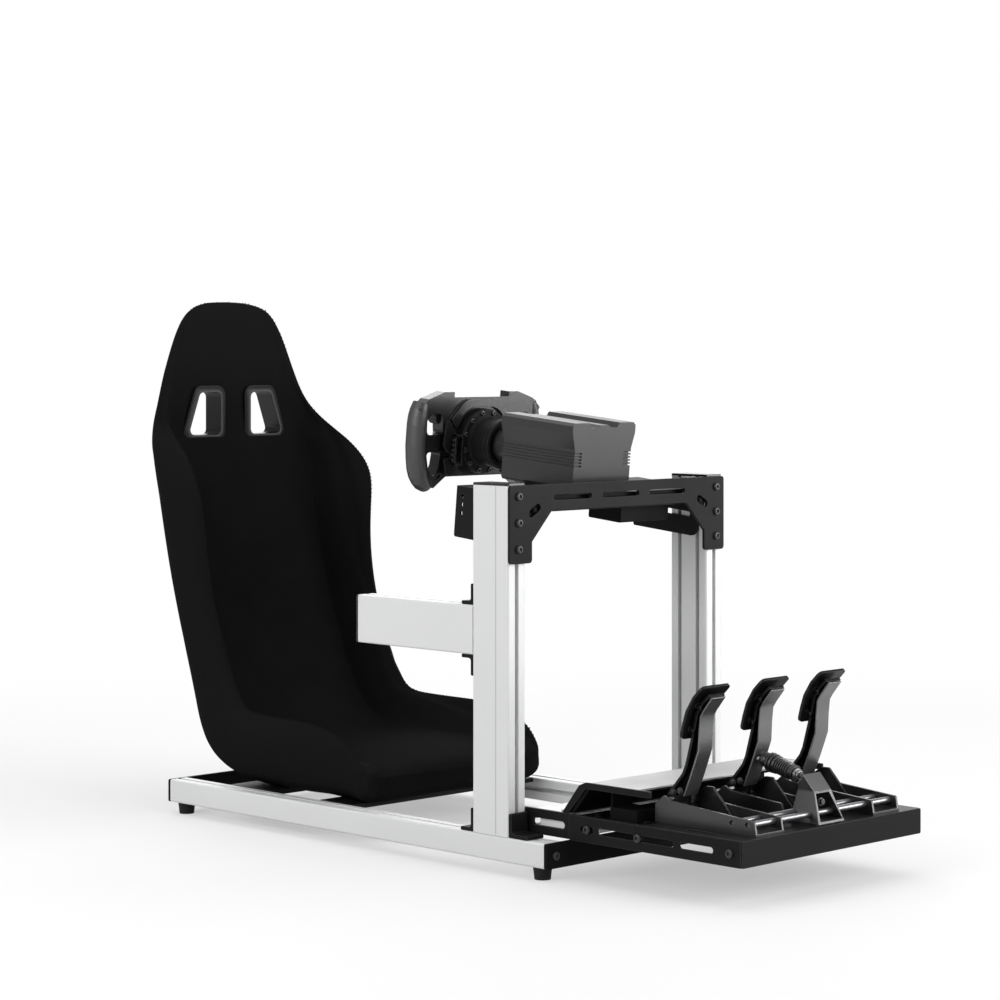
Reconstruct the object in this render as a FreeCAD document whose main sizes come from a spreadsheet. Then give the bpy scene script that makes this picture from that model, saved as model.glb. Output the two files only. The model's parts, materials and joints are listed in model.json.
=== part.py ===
import FreeCAD, Part
import math
import os
import re
from FreeCAD import Placement, Rotation, Vector

doc = FreeCAD.newDocument("RacingCockpit")
sheet = doc.addObject("Spreadsheet::Sheet", "Sizes")

# Driving sizes in millimetres and degrees. X points to the pedals, Y to the driver's left, Z up.
driving = [
    ("railFront", "370"),
    ("railLength", "937"),
    ("railSize", "40"),
    ("railOuter", "260"),
    ("railRear", "=railFront - railLength"),
    ("railInner", "=railOuter - railSize"),
    ("footHeight", "20"),
    ("footTop", "15.5"),
    ("footBottom", "13"),
    ("footInset", "22"),
    ("railTop", "=footHeight + railSize"),
    ("tieThick", "6"),
    ("slotMouth", "8"),
    ("slotLip", "5"),
    ("slotInner", "17"),
    ("slotDepth", "12"),
    ("profileRound", "3.5"),
    ("uprightSetback", "79.5"),
    ("uprightDepth", "80"),
    ("uprightTop", "617"),
    ("uprightFront", "=railFront - uprightSetback"),
    ("uprightRear", "=uprightFront - uprightDepth"),
    ("capThick", "4"),
    ("armLength", "273.5"),
    ("armHeight", "80"),
    ("armBottom", "344"),
    ("armRear", "=uprightRear - armLength"),
    ("bracketThick", "6"),
    ("bracketWidth", "36"),
    ("bracketTall", "38"),
    ("bracketShort", "29"),
    ("bracketLong", "42"),
    ("armBracketTall", "34"),
    ("armBracketLong", "27"),
    ("frontPlateThick", "5"),
    ("frontPlateTop", "617.5"),
    ("frontPlateBand", "42"),
    ("frontPlateFoot", "50"),
    ("frontPlateBottom", "493"),
    ("deckTilt", "5.5"),
    ("deckSheet", "4"),
    ("deckStart", "42.5"),
    ("deckLength", "147.5"),
    ("deckFlange", "84"),
    ("deckLip", "26"),
    ("shaftX", "=railFront - 273"),
    ("shaftZ", "672"),
    ("baseLength", "158"),
    ("baseHalfWidth", "63"),
    ("baseHalfHeight", "56"),
    ("shoulderBulge", "7"),
    ("grooveWidth", "2.6"),
    ("grooveStep", "5.2"),
    ("grooveDepth", "2.5"),
    ("grooveLow", "-17"),
    ("grooveWrap", "16"),
    ("noseFoot", "40"),
    ("noseRadius", "30"),
    ("hubDrop", "8"),
    ("hubGap", "69"),
    ("hubCup", "8"),
    ("hubSleeve", "44"),
    ("hubFlange", "56.5"),
    ("hubThick", "17"),
    ("wheelBack", "135"),
    ("wheelThick", "22"),
    ("wheelTop", "77"),
    ("wheelBar", "68"),
    ("wheelLow", "69"),
    ("gripReach", "138"),
    ("gripDeep", "19"),
    ("gripWide", "14"),
    ("paddleGap", "8"),
    ("paddleThick", "3"),
    ("paddleHinge", "62"),
    ("paddleBarrel", "2.4"),
    ("extensionHeight", "40"),
    ("extensionBottom", "64"),
    ("extensionThick", "5"),
    ("extensionFront", "=railFront + 166"),
    ("padThick", "4"),
    ("trayFront", "=railFront + 370"),
    ("traySheet", "4"),
    ("trayOuter", "=railInner"),
    ("trayTop", "=extensionBottom + extensionHeight"),
    ("beamRear", "=railFront - 67"),
    ("beamWidth", "80"),
    ("floorRear", "=railFront + 168"),
    ("heelTop", "156"),
    ("heelSheet", "3"),
    ("heelLip", "10"),
    ("heelBar", "4"),
    ("heelHalf", "=trayOuter - 12"),
    ("heelFoot", "=railFront + 8"),
    ("heelBend", "=railFront + 50"),
    ("heelFront", "=railFront + 152"),
    ("pedalSpacing", "143"),
    ("pedalBaseWidth", "66"),
    ("pedalWall", "4"),
    ("pedalSheet", "4"),
    ("pivotX", "=railFront + 190"),
    ("pivotZ", "124"),
    ("pedalArmWidth", "36"),
    ("pedalPadWidth", "68"),
    ("rodRadius", "5"),
    ("pinRadius", "5"),
    ("pinPlay", "0.3"),
    ("baseRear", "=railFront + 158"),
    ("baseFront", "=trayFront - 10"),
    ("damperRod", "5"),
    ("damperDisc", "15"),
    ("damperStep", "9"),
    ("seatPlateThick", "8"),
    ("seatPlateTop", "=railTop"),
    ("harnessLow", "678"),
    ("harnessHigh", "751"),
    ("harnessInner", "40"),
    ("harnessOuterLow", "108"),
    ("harnessOuterHigh", "82"),
    ("trimWide", "10"),
    ("trimDeep", "36"),
]
for row, (alias, text) in enumerate(driving, 1):
    sheet.set("A%d" % row, alias)
    sheet.set("B%d" % row, text)
    sheet.setAlias("B%d" % row, alias)
doc.recompute()


def size(alias):
    return float(sheet.get(alias))


def linked(text):
    return re.sub(r"[A-Za-z]\w*", lambda word: "Sizes." + word.group(0), text)


def roundLoop(sketch, corners):
    starts = []
    ends = []
    count = len(corners)
    for index, (px, py, radius) in enumerate(corners):
        here = Vector(px, py, 0)
        before = Vector(corners[index - 1][0], corners[index - 1][1], 0) - here
        after = Vector(corners[(index + 1) % count][0], corners[(index + 1) % count][1], 0) - here
        before.normalize()
        after.normalize()
        if radius <= 0:
            starts.append(here)
            ends.append(here)
            continue
        half = before.getAngle(after) / 2
        reach = radius / math.tan(half)
        first = here + before * reach
        last = here + after * reach
        bisector = before + after
        bisector.normalize()
        middle = here + bisector * (radius / math.sin(half) - radius)
        sketch.addGeometry(Part.Arc(first, middle, last), False)
        starts.append(first)
        ends.append(last)
    for index in range(count):
        first = ends[index]
        last = starts[(index + 1) % count]
        if first.distanceToPoint(last) > 0.001:
            sketch.addGeometry(Part.LineSegment(first, last), False)


def slotCorners(cx, cy, length, width, turn=0):
    along = Vector(math.cos(math.radians(turn)), math.sin(math.radians(turn)), 0)
    across = Vector(-along.y, along.x, 0)
    corners = []
    for side, end in ((-1, -1), (-1, 1), (1, 1), (1, -1)):
        point = along * (end * length / 2) + across * (side * width / 2)
        corners.append((cx + point.x, cy + point.y, width / 2 - 0.05))
    return corners


def prism(label, plane, loops, offset, length, circles=()):
    body = doc.addObject("PartDesign::Body", label)
    sketch = body.newObject("Sketcher::SketchObject", label + "Sketch")
    role = plane + "_Plane"
    datum = [item for item in body.Origin.OriginFeatures if item.Role == role][0]
    sketch.AttachmentSupport = [(datum, "")]
    sketch.MapMode = "FlatFace"
    sketch.setExpression("AttachmentOffset.Base.z", linked(offset))
    for loop in loops:
        roundLoop(sketch, loop)
    for cx, cy, radius in circles:
        sketch.addGeometry(Part.Circle(Vector(cx, cy, 0), Vector(0, 0, 1), radius), False)
    pad = body.newObject("PartDesign::Pad", label + "Pad")
    pad.Profile = sketch
    pad.setExpression("Length", linked(length))
    return body


def turned(label, profile, place):
    sketch = doc.addObject("Sketcher::SketchObject", label + "Sketch")
    sketch.Placement = Placement(Vector(0, 0, 0), Rotation(Vector(1, 0, 0), 90))
    roundLoop(sketch, profile)
    item = doc.addObject("Part::Revolution", label)
    item.Source = sketch
    item.Axis = Vector(0, 0, 1)
    item.Angle = 360
    item.Solid = True
    item.Placement = place
    return item


def box(label, x, y, z, lx, ly, lz):
    item = doc.addObject("Part::Box", label)
    item.setExpression("Length", linked(lx))
    item.setExpression("Width", linked(ly))
    item.setExpression("Height", linked(lz))
    item.setExpression("Placement.Base.x", linked(x))
    item.setExpression("Placement.Base.y", linked(y))
    item.setExpression("Placement.Base.z", linked(z))
    return item


def cylinder(label, radius, height, place):
    item = doc.addObject("Part::Cylinder", label)
    item.setExpression("Radius", linked(radius))
    item.setExpression("Height", linked(height))
    item.Placement = place
    return item


def fused(label, pieces):
    item = doc.addObject("Part::MultiFuse", label)
    item.Shapes = pieces
    item.Refine = True
    return item


def cutOut(label, base, tool):
    item = doc.addObject("Part::Cut", label)
    item.Base = base
    item.Tool = tool
    return item


def together(label, pieces):
    item = doc.addObject("Part::Compound", label)
    item.Links = pieces
    return item


def profileCorners(wide, tall, bottom, right, top, left):
    mouth = size("slotMouth") / 2
    lip = size("slotLip")
    inner = size("slotInner") / 2
    depth = size("slotDepth")
    sides = (
        (bottom, lambda s, d: (s, d)),
        (right, lambda s, d: (wide - d, s)),
        (top, lambda s, d: (wide - s, tall - d)),
        (left, lambda s, d: (d, tall - s)),
    )
    corners = []
    for centres, place in sides:
        corners.append(place(0, 0) + (size("profileRound"),))
        for centre in centres:
            for s, d in (
                (-mouth, 0), (-mouth, lip), (-inner, lip), (-5, depth),
                (5, depth), (inner, lip), (mouth, lip), (mouth, 0),
            ):
                corners.append(place(centre + s, d) + (0,))
    return corners


def shifted(corners, dx, dy):
    return [(px + dx, py + dy, radius) for px, py, radius in corners]


def mirrored(corners):
    return [(-px, py, radius) for px, py, radius in reversed(corners)]


nodes = []


def keep(item):
    nodes.append(item)
    return item


# Base rails: square slotted profile, smooth on the outer side.
rail = size("railSize")
mid = rail / 2
railShape = profileCorners(rail, rail, (mid,), (mid,), (mid,), ())
railShape = shifted(railShape, -size("railOuter"), size("footHeight"))
keep(prism("right_base_rail", "YZ", [railShape], "railRear", "railLength"))
keep(prism("left_base_rail", "YZ", [mirrored(railShape)], "railRear", "railLength"))

# Steel plates that tie the rail ends together.
halfWide = size("railOuter")
tieBottom = size("footHeight")
tieTop = size("railTop")
tieShape = [
    (-halfWide, tieBottom, 3), (halfWide, tieBottom, 3), (halfWide, tieTop, 3), (-halfWide, tieTop, 3),
]
boltSpots = [(side * (halfWide - mid), tieBottom + mid, 4.2) for side in (-1, 1)]
keep(prism("front_tie_plate", "YZ", [tieShape], "railFront", "tieThick", boltSpots))
keep(prism("rear_tie_plate", "YZ", [tieShape], "railRear - tieThick", "tieThick", boltSpots))

# Four tapered rubber feet under the rail ends.
feet = []
for number, (along, side) in enumerate((("railFront - footInset", -1), ("railFront - footInset", 1),
                                        ("railRear + footInset", -1), ("railRear + footInset", 1)), 1):
    foot = doc.addObject("Part::Cone", "foot%d" % number)
    foot.setExpression("Radius1", linked("footBottom"))
    foot.setExpression("Radius2", linked("footTop"))
    foot.setExpression("Height", linked("footHeight"))
    foot.setExpression("Placement.Base.x", linked(along))
    foot.setExpression("Placement.Base.y", linked("%d * (railOuter - railSize / 2)" % side))
    feet.append(foot)
keep(together("rubber_feet", feet))

# Uprights: double profile, smooth outside.
deep = size("uprightDepth")
uprightShape = profileCorners(deep, rail, (), (mid,), (mid, deep - mid), (mid,))
rightUpright = shifted(uprightShape, size("uprightRear"), -halfWide)
leftUpright = [(px, -py, radius) for px, py, radius in reversed(rightUpright)]
keep(prism("right_upright", "XY", [rightUpright], "railTop", "uprightTop - railTop"))
keep(prism("left_upright", "XY", [leftUpright], "railTop", "uprightTop - railTop"))
capShape = [
    (size("uprightRear"), -halfWide, 3), (size("uprightFront"), -halfWide, 3),
    (size("uprightFront"), -halfWide + rail, 3), (size("uprightRear"), -halfWide + rail, 3),
]
capMirror = [(px, -py, radius) for px, py, radius in reversed(capShape)]
capRight = prism("capRight", "XY", [capShape], "uprightTop", "capThick")
capLeft = prism("capLeft", "XY", [capMirror], "uprightTop", "capThick")
keep(together("upright_end_caps", [capRight, capLeft]))


# Angle brackets that hold the profiles at right angles.
def angleCorners(x, z, forward, upward, longLeg, tallLeg):
    thick = size("bracketThick")
    local = [
        (0, 0, 2.5), (longLeg, 0, 2.5), (longLeg, thick, 2.5),
        (thick, thick, 5), (thick, tallLeg, 2.5), (0, tallLeg, 2.5),
    ]
    corners = [(x + forward * px, z + upward * pz, radius) for px, pz, radius in local]
    if forward * upward < 0:
        corners.reverse()
    return corners


def bracket(label, side, corners):
    if side > 0:
        offset = "-railOuter + (railSize - bracketWidth) / 2"
    else:
        offset = "railOuter - (railSize - bracketWidth) / 2 - bracketWidth"
    return prism(label, "XZ", [corners], offset, "bracketWidth")


legTall = size("bracketTall")
frontAngle = angleCorners(size("uprightFront"), size("railTop"), 1, 1, size("bracketLong"), legTall)
rearAngle = angleCorners(size("uprightRear"), size("railTop"), -1, 1, size("bracketShort"), legTall)
brackets = []
for name, side in (("Right", -1), ("Left", 1)):
    brackets.append(bracket("footBracketFront" + name, side, frontAngle))
    brackets.append(bracket("footBracketRear" + name, side, rearAngle))

# Side arm behind the right upright, the place for a shifter.
armShape = profileCorners(rail, size("armHeight"), (mid,), (mid, size("armHeight") - mid), (mid,), ())
armShape = shifted(armShape, -halfWide, size("armBottom"))
keep(prism("side_arm", "YZ", [armShape], "armRear", "armLength"))
armTop = size("armBottom") + size("armHeight")
armCap = [
    (-halfWide, size("armBottom"), 3), (-halfWide + rail, size("armBottom"), 3),
    (-halfWide + rail, armTop, 3), (-halfWide, armTop, 3),
]
keep(prism("side_arm_cap", "YZ", [armCap], "armRear - capThick", "capThick"))
armLegs = (size("armBracketLong"), size("armBracketTall"))
armUpper = angleCorners(size("uprightRear"), armTop, -1, 1, *armLegs)
armLower = angleCorners(size("uprightRear"), size("armBottom"), -1, -1, *armLegs)
brackets.append(bracket("armBracketUpper", -1, armUpper))
brackets.append(bracket("armBracketLower", -1, armLower))
keep(together("corner_brackets", brackets))

# Front plate between the uprights, with three slots and a corner gusset at each end.
plateTop = size("frontPlateTop")
bandLow = plateTop - size("frontPlateBand")
footLow = size("frontPlateBottom")
footIn = halfWide - size("frontPlateFoot")
plateShape = [
    (-halfWide, footLow, 6), (-footIn, footLow, 6), (-footIn, footLow + 34, 4), (-footIn + 46, bandLow, 6),
    (footIn - 46, bandLow, 6), (footIn, footLow + 34, 4), (footIn, footLow, 6), (halfWide, footLow, 6),
    (halfWide, plateTop, 5), (-halfWide, plateTop, 5),
]
plateHoles = [slotCorners(spot, plateTop - 21.5, 90, 9) for spot in (-115, 0, 115)]
plateHoles.append(slotCorners(-(footIn - 6), bandLow + 1, 30, 13, 30))
plateHoles.append(slotCorners(footIn - 6, bandLow + 1, 30, 13, -30))
drops = (17.5, 59.5, 101.5)
plateBolts = [(side * (halfWide - mid), plateTop - drop, 4.2) for side in (-1, 1) for drop in drops]
plateLoops = [plateShape] + plateHoles
keep(prism("wheel_front_plate", "YZ", plateLoops, "uprightFront", "frontPlateThick", plateBolts))

# Everything on the wheel deck leans with the shaft, so it shares one tilted placement.
lean = Placement(Vector(size("shaftX"), 0, size("shaftZ")), Rotation(Vector(0, 1, 0), size("deckTilt")))
deckStart = size("deckStart")
deckEnd = deckStart + size("deckLength")
deckTop = -size("baseHalfHeight")
deckSheet = size("deckSheet")
deckWide = size("railInner")
deckLow = deckTop - size("deckFlange")
deckHoles = [slotCorners(deckStart + 90, side * spot, 80, 9) for side in (-1, 1) for spot in (40, 110)]
deckFlat = [
    (deckStart, -deckWide, 0), (deckEnd, -deckWide, 0), (deckEnd, deckWide, 0), (deckStart, deckWide, 0),
]
deckPlate = prism("deckPlate", "XY", [deckFlat] + deckHoles, "-baseHalfHeight - deckSheet", "deckSheet")
flangeShape = [
    (deckStart, deckLow, 4), (deckEnd, deckLow, 16), (deckEnd, deckTop, 0), (deckStart, deckTop, 0),
]
flangeHoles = [slotCorners(deckEnd - 52, deckTop - 48, 66, 9)]
flangeBolts = [(deckStart + 14, deckTop - drop, 3.5) for drop in (16, 30, 44)]
flangeLoops = [flangeShape] + flangeHoles
rightFlange = prism("rightFlange", "XZ", flangeLoops, "railInner - deckSheet", "deckSheet", flangeBolts)
leftFlange = prism("leftFlange", "XZ", flangeLoops, "-railInner", "deckSheet", flangeBolts)
lipRear = "deckStart + deckLength - deckSheet"
lipRun = "2 * (railInner - 30)"
lipLow = "-baseHalfHeight - deckLip"
frontLip = box("deckFrontLip", lipRear, "-railInner + 30", lipLow, "deckSheet", lipRun, "deckLip")
deck = keep(fused("wheel_deck", [deckPlate, rightFlange, leftFlange, frontLip]))
deck.Placement = lean

# Short box under the left half of the deck.
hangShape = [
    (deckStart + 62, deckTop - deckSheet - 40, 3), (deckEnd - 12, deckTop - deckSheet - 40, 3),
    (deckEnd - 12, deckTop - deckSheet, 0), (deckStart + 62, deckTop - deckSheet, 0),
]
hang = keep(prism("under_deck_box", "XZ", [hangShape], "-150", "118"))
hang.Placement = lean

# Direct drive wheelbase: slim body under bulged shoulders, fine side grooves, a ridge along its top.
wide = size("baseHalfWidth")
high = size("baseHalfHeight")
bulge = wide + size("shoulderBulge")
baseRight = [
    (wide - 3, -high, 0), (wide, -high + 5, 0), (wide, 12, 6), (bulge, 38, 6), (bulge, high - 5, 0),
    (bulge - 5, high, 0), (34, high, 0), (28, high - 9, 0), (15, high - 9, 0), (9, high - 4, 0),
]
housing = prism("baseBlock", "YZ", [baseRight + mirrored(baseRight)], "0", "baseLength")
grooves = []
for number in range(5):
    for side in (-1, 1):
        level = "grooveLow + %d * grooveStep" % number
        edge = "baseHalfWidth - grooveDepth" if side > 0 else "-baseHalfWidth - grooveDepth"
        name = "groove%d%s" % (number, "L" if side > 0 else "R")
        grooves.append(box(name, "0", edge, level, "baseLength", "2 * grooveDepth", "grooveWidth"))
        edge = "baseHalfWidth - grooveWrap" if side > 0 else "-baseHalfWidth"
        grooves.append(box(name + "Front", "baseLength - grooveDepth", edge, level,
                           "2 * grooveDepth", "grooveWrap", "grooveWidth"))
housingBody = keep(cutOut("wheelbase_housing", housing, together("grooveSet", grooves)))
housingBody.Placement = lean
toDriver = Rotation(Vector(0, 1, 0), -90)
onShaft = lean.multiply(Placement(Vector(0, 0, -size("hubDrop")), toDriver))
noseEnd = size("hubGap") + size("hubCup") - size("pinPlay")
noseShape = [
    (0, 0, 0), (size("noseFoot"), 0, 0), (size("noseFoot"), 7.5, 0), (size("noseFoot") - 1.5, 9, 0),
    (size("noseRadius"), 14, 0), (size("noseRadius"), noseEnd - 1.5, 0),
    (size("noseRadius") - 1.5, noseEnd, 0),
    (0, noseEnd, 0),
]
keep(turned("wheelbase_nose", noseShape, onShaft))

# Quick release and hub flange that turn with the wheel, open to the shaft like a cup.
wheelBack = size("wheelBack")
sleeveOut = size("hubSleeve")
cupEnd = size("hubGap") + size("hubCup")
flangeAt = wheelBack - size("hubThick")
hubShape = [
    (0, cupEnd, 0), (sleeveOut - 7, cupEnd, 0), (sleeveOut - 7, size("hubGap"), 0),
    (sleeveOut - 2, size("hubGap"), 0),
    (sleeveOut, size("hubGap") + 2, 0), (sleeveOut, cupEnd + 4, 0), (sleeveOut - 3, cupEnd + 7, 0),
    (sleeveOut - 3, flangeAt - 3, 0), (sleeveOut, flangeAt, 0), (size("hubFlange") - 2, flangeAt, 0),
    (size("hubFlange"), flangeAt + 2, 0), (size("hubFlange"), wheelBack, 0), (0, wheelBack, 0),
]
keep(turned("wheel_hub", hubShape, onShaft))

# Steering wheel: grips lofted through oval sections, each standing towards the driver.
gripReach = size("gripReach")
gripSections = [
    (108, -88, 40, 0.72), (115.5, -84.5, 51, 0.82), (122, -78, 63, 0.9), (128, -68, 71, 0.96),
    (132, -56, 76, 1), (135.5, -38, 81, 1), (gripReach, -16, 87, 1), (gripReach, 20, 93, 1),
    (136.8, 34, 97, 0.98), (134.5, 46, 101, 0.93), (131, 58, 106, 0.8),
]
ovals = []
for number, (gy, gz, turn, share) in enumerate(gripSections, 1):
    along = Vector(0, math.cos(math.radians(turn)), math.sin(math.radians(turn)))
    outward = along.cross(Vector(1, 0, 0))
    spot = Placement(Vector(-wheelBack - 15, gy, gz), Rotation(Vector(1, 0, 0), outward, along, "ZXY"))
    oval = doc.addObject("Sketcher::SketchObject", "gripSection%d" % number)
    oval.Placement = lean.multiply(spot)
    ellipse = Part.Ellipse(Vector(0, 0, 0), size("gripDeep") * share, size("gripWide") * share)
    oval.addGeometry(ellipse, False)
    ovals.append(oval)
leftGrip = keep(doc.addObject("Part::Loft", "left_grip"))
leftGrip.Sections = ovals
leftGrip.Solid = True
leftGrip.Ruled = True
rightGrip = keep(doc.addObject("Part::Mirroring", "right_grip"))
rightGrip.Source = leftGrip
rightGrip.Normal = Vector(0, 1, 0)

# Wheel body: flat plate with finger openings, raised shoulders, an arch over the hub and paddle mounts.
wheelTop = size("wheelTop")
wheelBar = size("wheelBar")
wheelLow = size("wheelLow")
coreRight = [
    (76, -wheelLow, 8), (104, -wheelLow - 20, 5), (118, -wheelLow - 12, 6), (gripReach - 6, -40, 20),
    (gripReach - 1, 10, 20), (gripReach - 4, 40, 3), (gripReach + 9, 47, 3), (126, 65, 4), (88, wheelTop, 4),
    (66, wheelTop, 1.5), (66, wheelBar, 1.5),
]
upperGap = [(88, 6, 5), (126, 3, 8), (127, 30, 9), (112, 41, 10), (92, 38, 6)]
lowerGap = [(92, -27, 5), (125, -26, 6), (118, -56, 8), (104, -70, 4), (95, -50, 6)]
strutGap = slotCorners(93, -69, 14, 5, -38)
coreHoles = [upperGap, mirrored(upperGap), lowerGap, mirrored(lowerGap), strutGap, mirrored(strutGap)]
coreLoops = [coreRight + mirrored(coreRight)] + coreHoles
corePlate = prism("corePlate", "YZ", coreLoops, "-wheelBack - wheelThick", "wheelThick")
archRight = [(62, 15, 3), (75, 30, 3), (42, 65, 38)]
archInner = [(-38, 51, 38), (38, 51, 38)]
archLoop = archInner + archRight + mirrored(archRight)
archBand = prism("archBand", "YZ", [archLoop], "-wheelBack", "paddleGap - 2")
mounts = []
for side in (-1, 1):
    edge = "paddleHinge - 5" if side > 0 else "-paddleHinge - 6"
    name = "paddleMount%d" % (side + 2)
    mounts.append(box(name, "-wheelBack", edge, "-54", "paddleGap - pinPlay", "11", "54"))
coreSolid = fused("coreSolid", [corePlate, archBand] + mounts)
coreSolid.Placement = lean
keep(cutOut("wheel_core", coreSolid, together("gripSet", [leftGrip, rightGrip])))
faceRight = [(70, -58, 12), (80, 20, 12), (64, wheelBar - 6, 14)]
faceDepth = "14"
face = keep(prism("wheel_face_housing", "YZ", [faceRight + mirrored(faceRight)],
                  "-wheelBack - wheelThick - " + faceDepth, faceDepth))
face.Placement = lean

# Upper and lower paddle on each side, each on a hinge barrel beside the hub on the far face of the wheel.
hinge = size("paddleHinge")
upperPaddle = [
    (hinge, -28, 2), (hinge + 22, -27, 5), (hinge + 33, -14, 5), (hinge + 30, 16, 5), (hinge + 26, 33, 3),
    (hinge + 18, 22, 4), (hinge, 0, 2),
]
lowerPaddle = [
    (hinge, -57, 3), (hinge + 8, -67, 5), (hinge + 23, -64, 6), (hinge + 31, -36, 4), (hinge, -36, 2),
]
barrelX = -wheelBack + size("paddleGap") + size("paddleThick") - 0.4
for label, shape, low, run in (("paddle", upperPaddle, -27, "26"), ("lower_paddle", lowerPaddle, -54, "17")):
    for side, sign, corners in (("left_", 1, shape), ("right_", -1, mirrored(shape))):
        plate = prism(side + label + "Plate", "YZ", [corners], "-wheelBack + paddleGap", "paddleThick")
        plate.Placement = lean
        barrelAt = lean.multiply(Placement(Vector(barrelX, sign * (hinge + 4), low), Rotation()))
        barrel = cylinder(side + label + "Barrel", "paddleBarrel", run, barrelAt)
        keep(fused(side + label, [plate, barrel]))

# Extension plates that carry the pedal tray in front of the uprights.
lowEdge = size("extensionBottom")
highEdge = size("trayTop")
centreLine = (lowEdge + highEdge) / 2
extRear = size("uprightRear")
extFront = size("extensionFront")
extShape = [(extRear, lowEdge, 4), (extFront, lowEdge, 4), (extFront, highEdge, 4), (extRear, highEdge, 4)]
extHoles = [
    slotCorners((extRear + size("uprightFront")) / 2, centreLine, 60, 9),
    slotCorners(size("railFront") - 32, centreLine, 70, 12),
    slotCorners(size("railFront") + 112, centreLine, 96, 12),
]
outerFace = "railInner - padThick"
innerFace = outerFace + " - extensionThick"
extLoops = [extShape] + extHoles
keep(prism("right_extension_plate", "XZ", extLoops, innerFace, "extensionThick"))
keep(prism("left_extension_plate", "XZ", extLoops, "-railInner + padThick", "extensionThick"))
padFront = size("uprightFront")
padShape = [(extRear, lowEdge, 2), (padFront, lowEdge, 2), (padFront, highEdge, 2), (extRear, highEdge, 2)]
padHole = [slotCorners((extRear + size("uprightFront")) / 2, centreLine, 60, 9)]
spacerRight = prism("spacerRight", "XZ", [padShape] + padHole, "railInner - padThick", "padThick")
spacerLeft = prism("spacerLeft", "XZ", [padShape] + padHole, "-railInner", "padThick")
keep(together("extension_spacers", [spacerRight, spacerLeft]))

# Cross beam between the extension plates, just in front of the uprights.
beamShape = profileCorners(size("beamWidth"), size("extensionHeight"), (), (mid,), (), (mid,))
beamShape = shifted(beamShape, size("beamRear"), lowEdge)
beamHalf = "(railInner - padThick - extensionThick)"
keep(prism("cross_beam", "XZ", [beamShape], "-" + beamHalf, "2 * " + beamHalf))

# Pedal tray: slotted side plates, front plate and a floor with windows.
trayFront = size("trayFront")
trayRear = size("railFront") + 16
trayEnd = trayFront - size("traySheet")
sideShape = [(trayRear, lowEdge, 4), (trayEnd, lowEdge, 0), (trayEnd, highEdge, 0), (trayRear, highEdge, 4)]
sideHoles = [
    slotCorners(size("railFront") + 55, centreLine, 30, 10),
    slotCorners(size("railFront") + 115, centreLine, 78, 10),
    slotCorners(size("railFront") + 200, centreLine, 70, 10),
    slotCorners(size("railFront") + 279, centreLine, 68, 10),
]
keep(prism("right_tray_side", "XZ", [sideShape] + sideHoles, "trayOuter - traySheet", "traySheet"))
keep(prism("left_tray_side", "XZ", [sideShape] + sideHoles, "-trayOuter", "traySheet"))
trayWide = size("trayOuter")
frontShape = [
    (-trayWide, lowEdge, 3), (trayWide, lowEdge, 3), (trayWide, highEdge, 3), (-trayWide, highEdge, 3),
]
keep(prism("tray_front_plate", "YZ", [frontShape], "trayFront - traySheet", "traySheet"))
floorRear = size("floorRear")
floorHalf = trayWide - size("traySheet")
floorShape = [
    (floorRear, -floorHalf, 2), (trayEnd, -floorHalf, 2), (trayEnd, floorHalf, 2), (floorRear, floorHalf, 2),
]
floorHoles = [slotCorners(size("railFront") + 270, spot, 60, 10) for spot in (-195, -72, 72, 195)]
keep(prism("tray_floor", "XY", [floorShape] + floorHoles, "trayTop - traySheet", "traySheet"))

# Heel plate: a bent sheet rising from the beam, with a bar along each edge.
sheetThick = size("heelSheet")
heelFoot = size("heelFoot")
heelBend = size("heelBend")
heelFront = size("heelFront")
heelTop = size("heelTop")
heelShape = [
    (heelFoot - 20, highEdge, 0), (heelFoot + 2, highEdge, 5), (heelBend + 1.5, heelTop - sheetThick, 3),
    (heelFront, heelTop - sheetThick, 0), (heelFront, heelTop, 0), (heelBend, heelTop, 6),
    (heelFoot, highEdge + sheetThick, 5), (heelFoot - 20, highEdge + sheetThick, 0),
]
keep(prism("heel_plate", "XZ", [heelShape], "-heelHalf", "2 * heelHalf"))
barFront = size("baseRear") + 22
barLow = heelTop - size("heelLip")
heelBarShape = [
    (heelFoot - 14, highEdge, 0), (heelFoot - 1, highEdge, 0), (heelBend - 6, barLow, 4),
    (barFront, barLow, 1), (barFront, heelTop, 1), (heelBend - 6, heelTop, 8),
    (heelBend - 20, heelTop - 6, 8),
]
barRight = prism("heelBarRight", "XZ", [heelBarShape], "heelHalf", "heelBar")
barLeft = prism("heelBarLeft", "XZ", [heelBarShape], "-heelHalf - heelBar", "heelBar")
keep(together("heel_side_bars", [barRight, barLeft]))

# Pedal bases: two sloping walls on a sole, an inner bracket with a peak, and the pivot pin.
baseRear = size("baseRear")
baseFront = size("baseFront")
pivotX = size("pivotX")
pivotZ = size("pivotZ")
soleTop = highEdge + size("pedalWall")
rodX = (baseFront - 48, baseFront - 18)
rodLevel = highEdge + 16
tipHole = [(-5, 0, 0.8), (0, -5, 0.8), (5, 0, 0.8), (0, 5, 0.8)]
tipHoles = [shifted(tipHole, along, rodLevel) for along in rodX]
rodSpots = [(along, rodLevel, size("rodRadius")) for along in rodX]
portalRear = rodX[0] - 14
acrossY = Rotation(Vector(1, 0, 0), -90)


def wallCorners(front, drop):
    return [
        (baseRear, highEdge, 0), (front, highEdge, 0), (front - 4, highEdge + drop, 4),
        (baseRear + 32, highEdge + 36, 4), (baseRear + 18, highEdge + 43, 4), (baseRear, highEdge + 28, 4),
    ]


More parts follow.
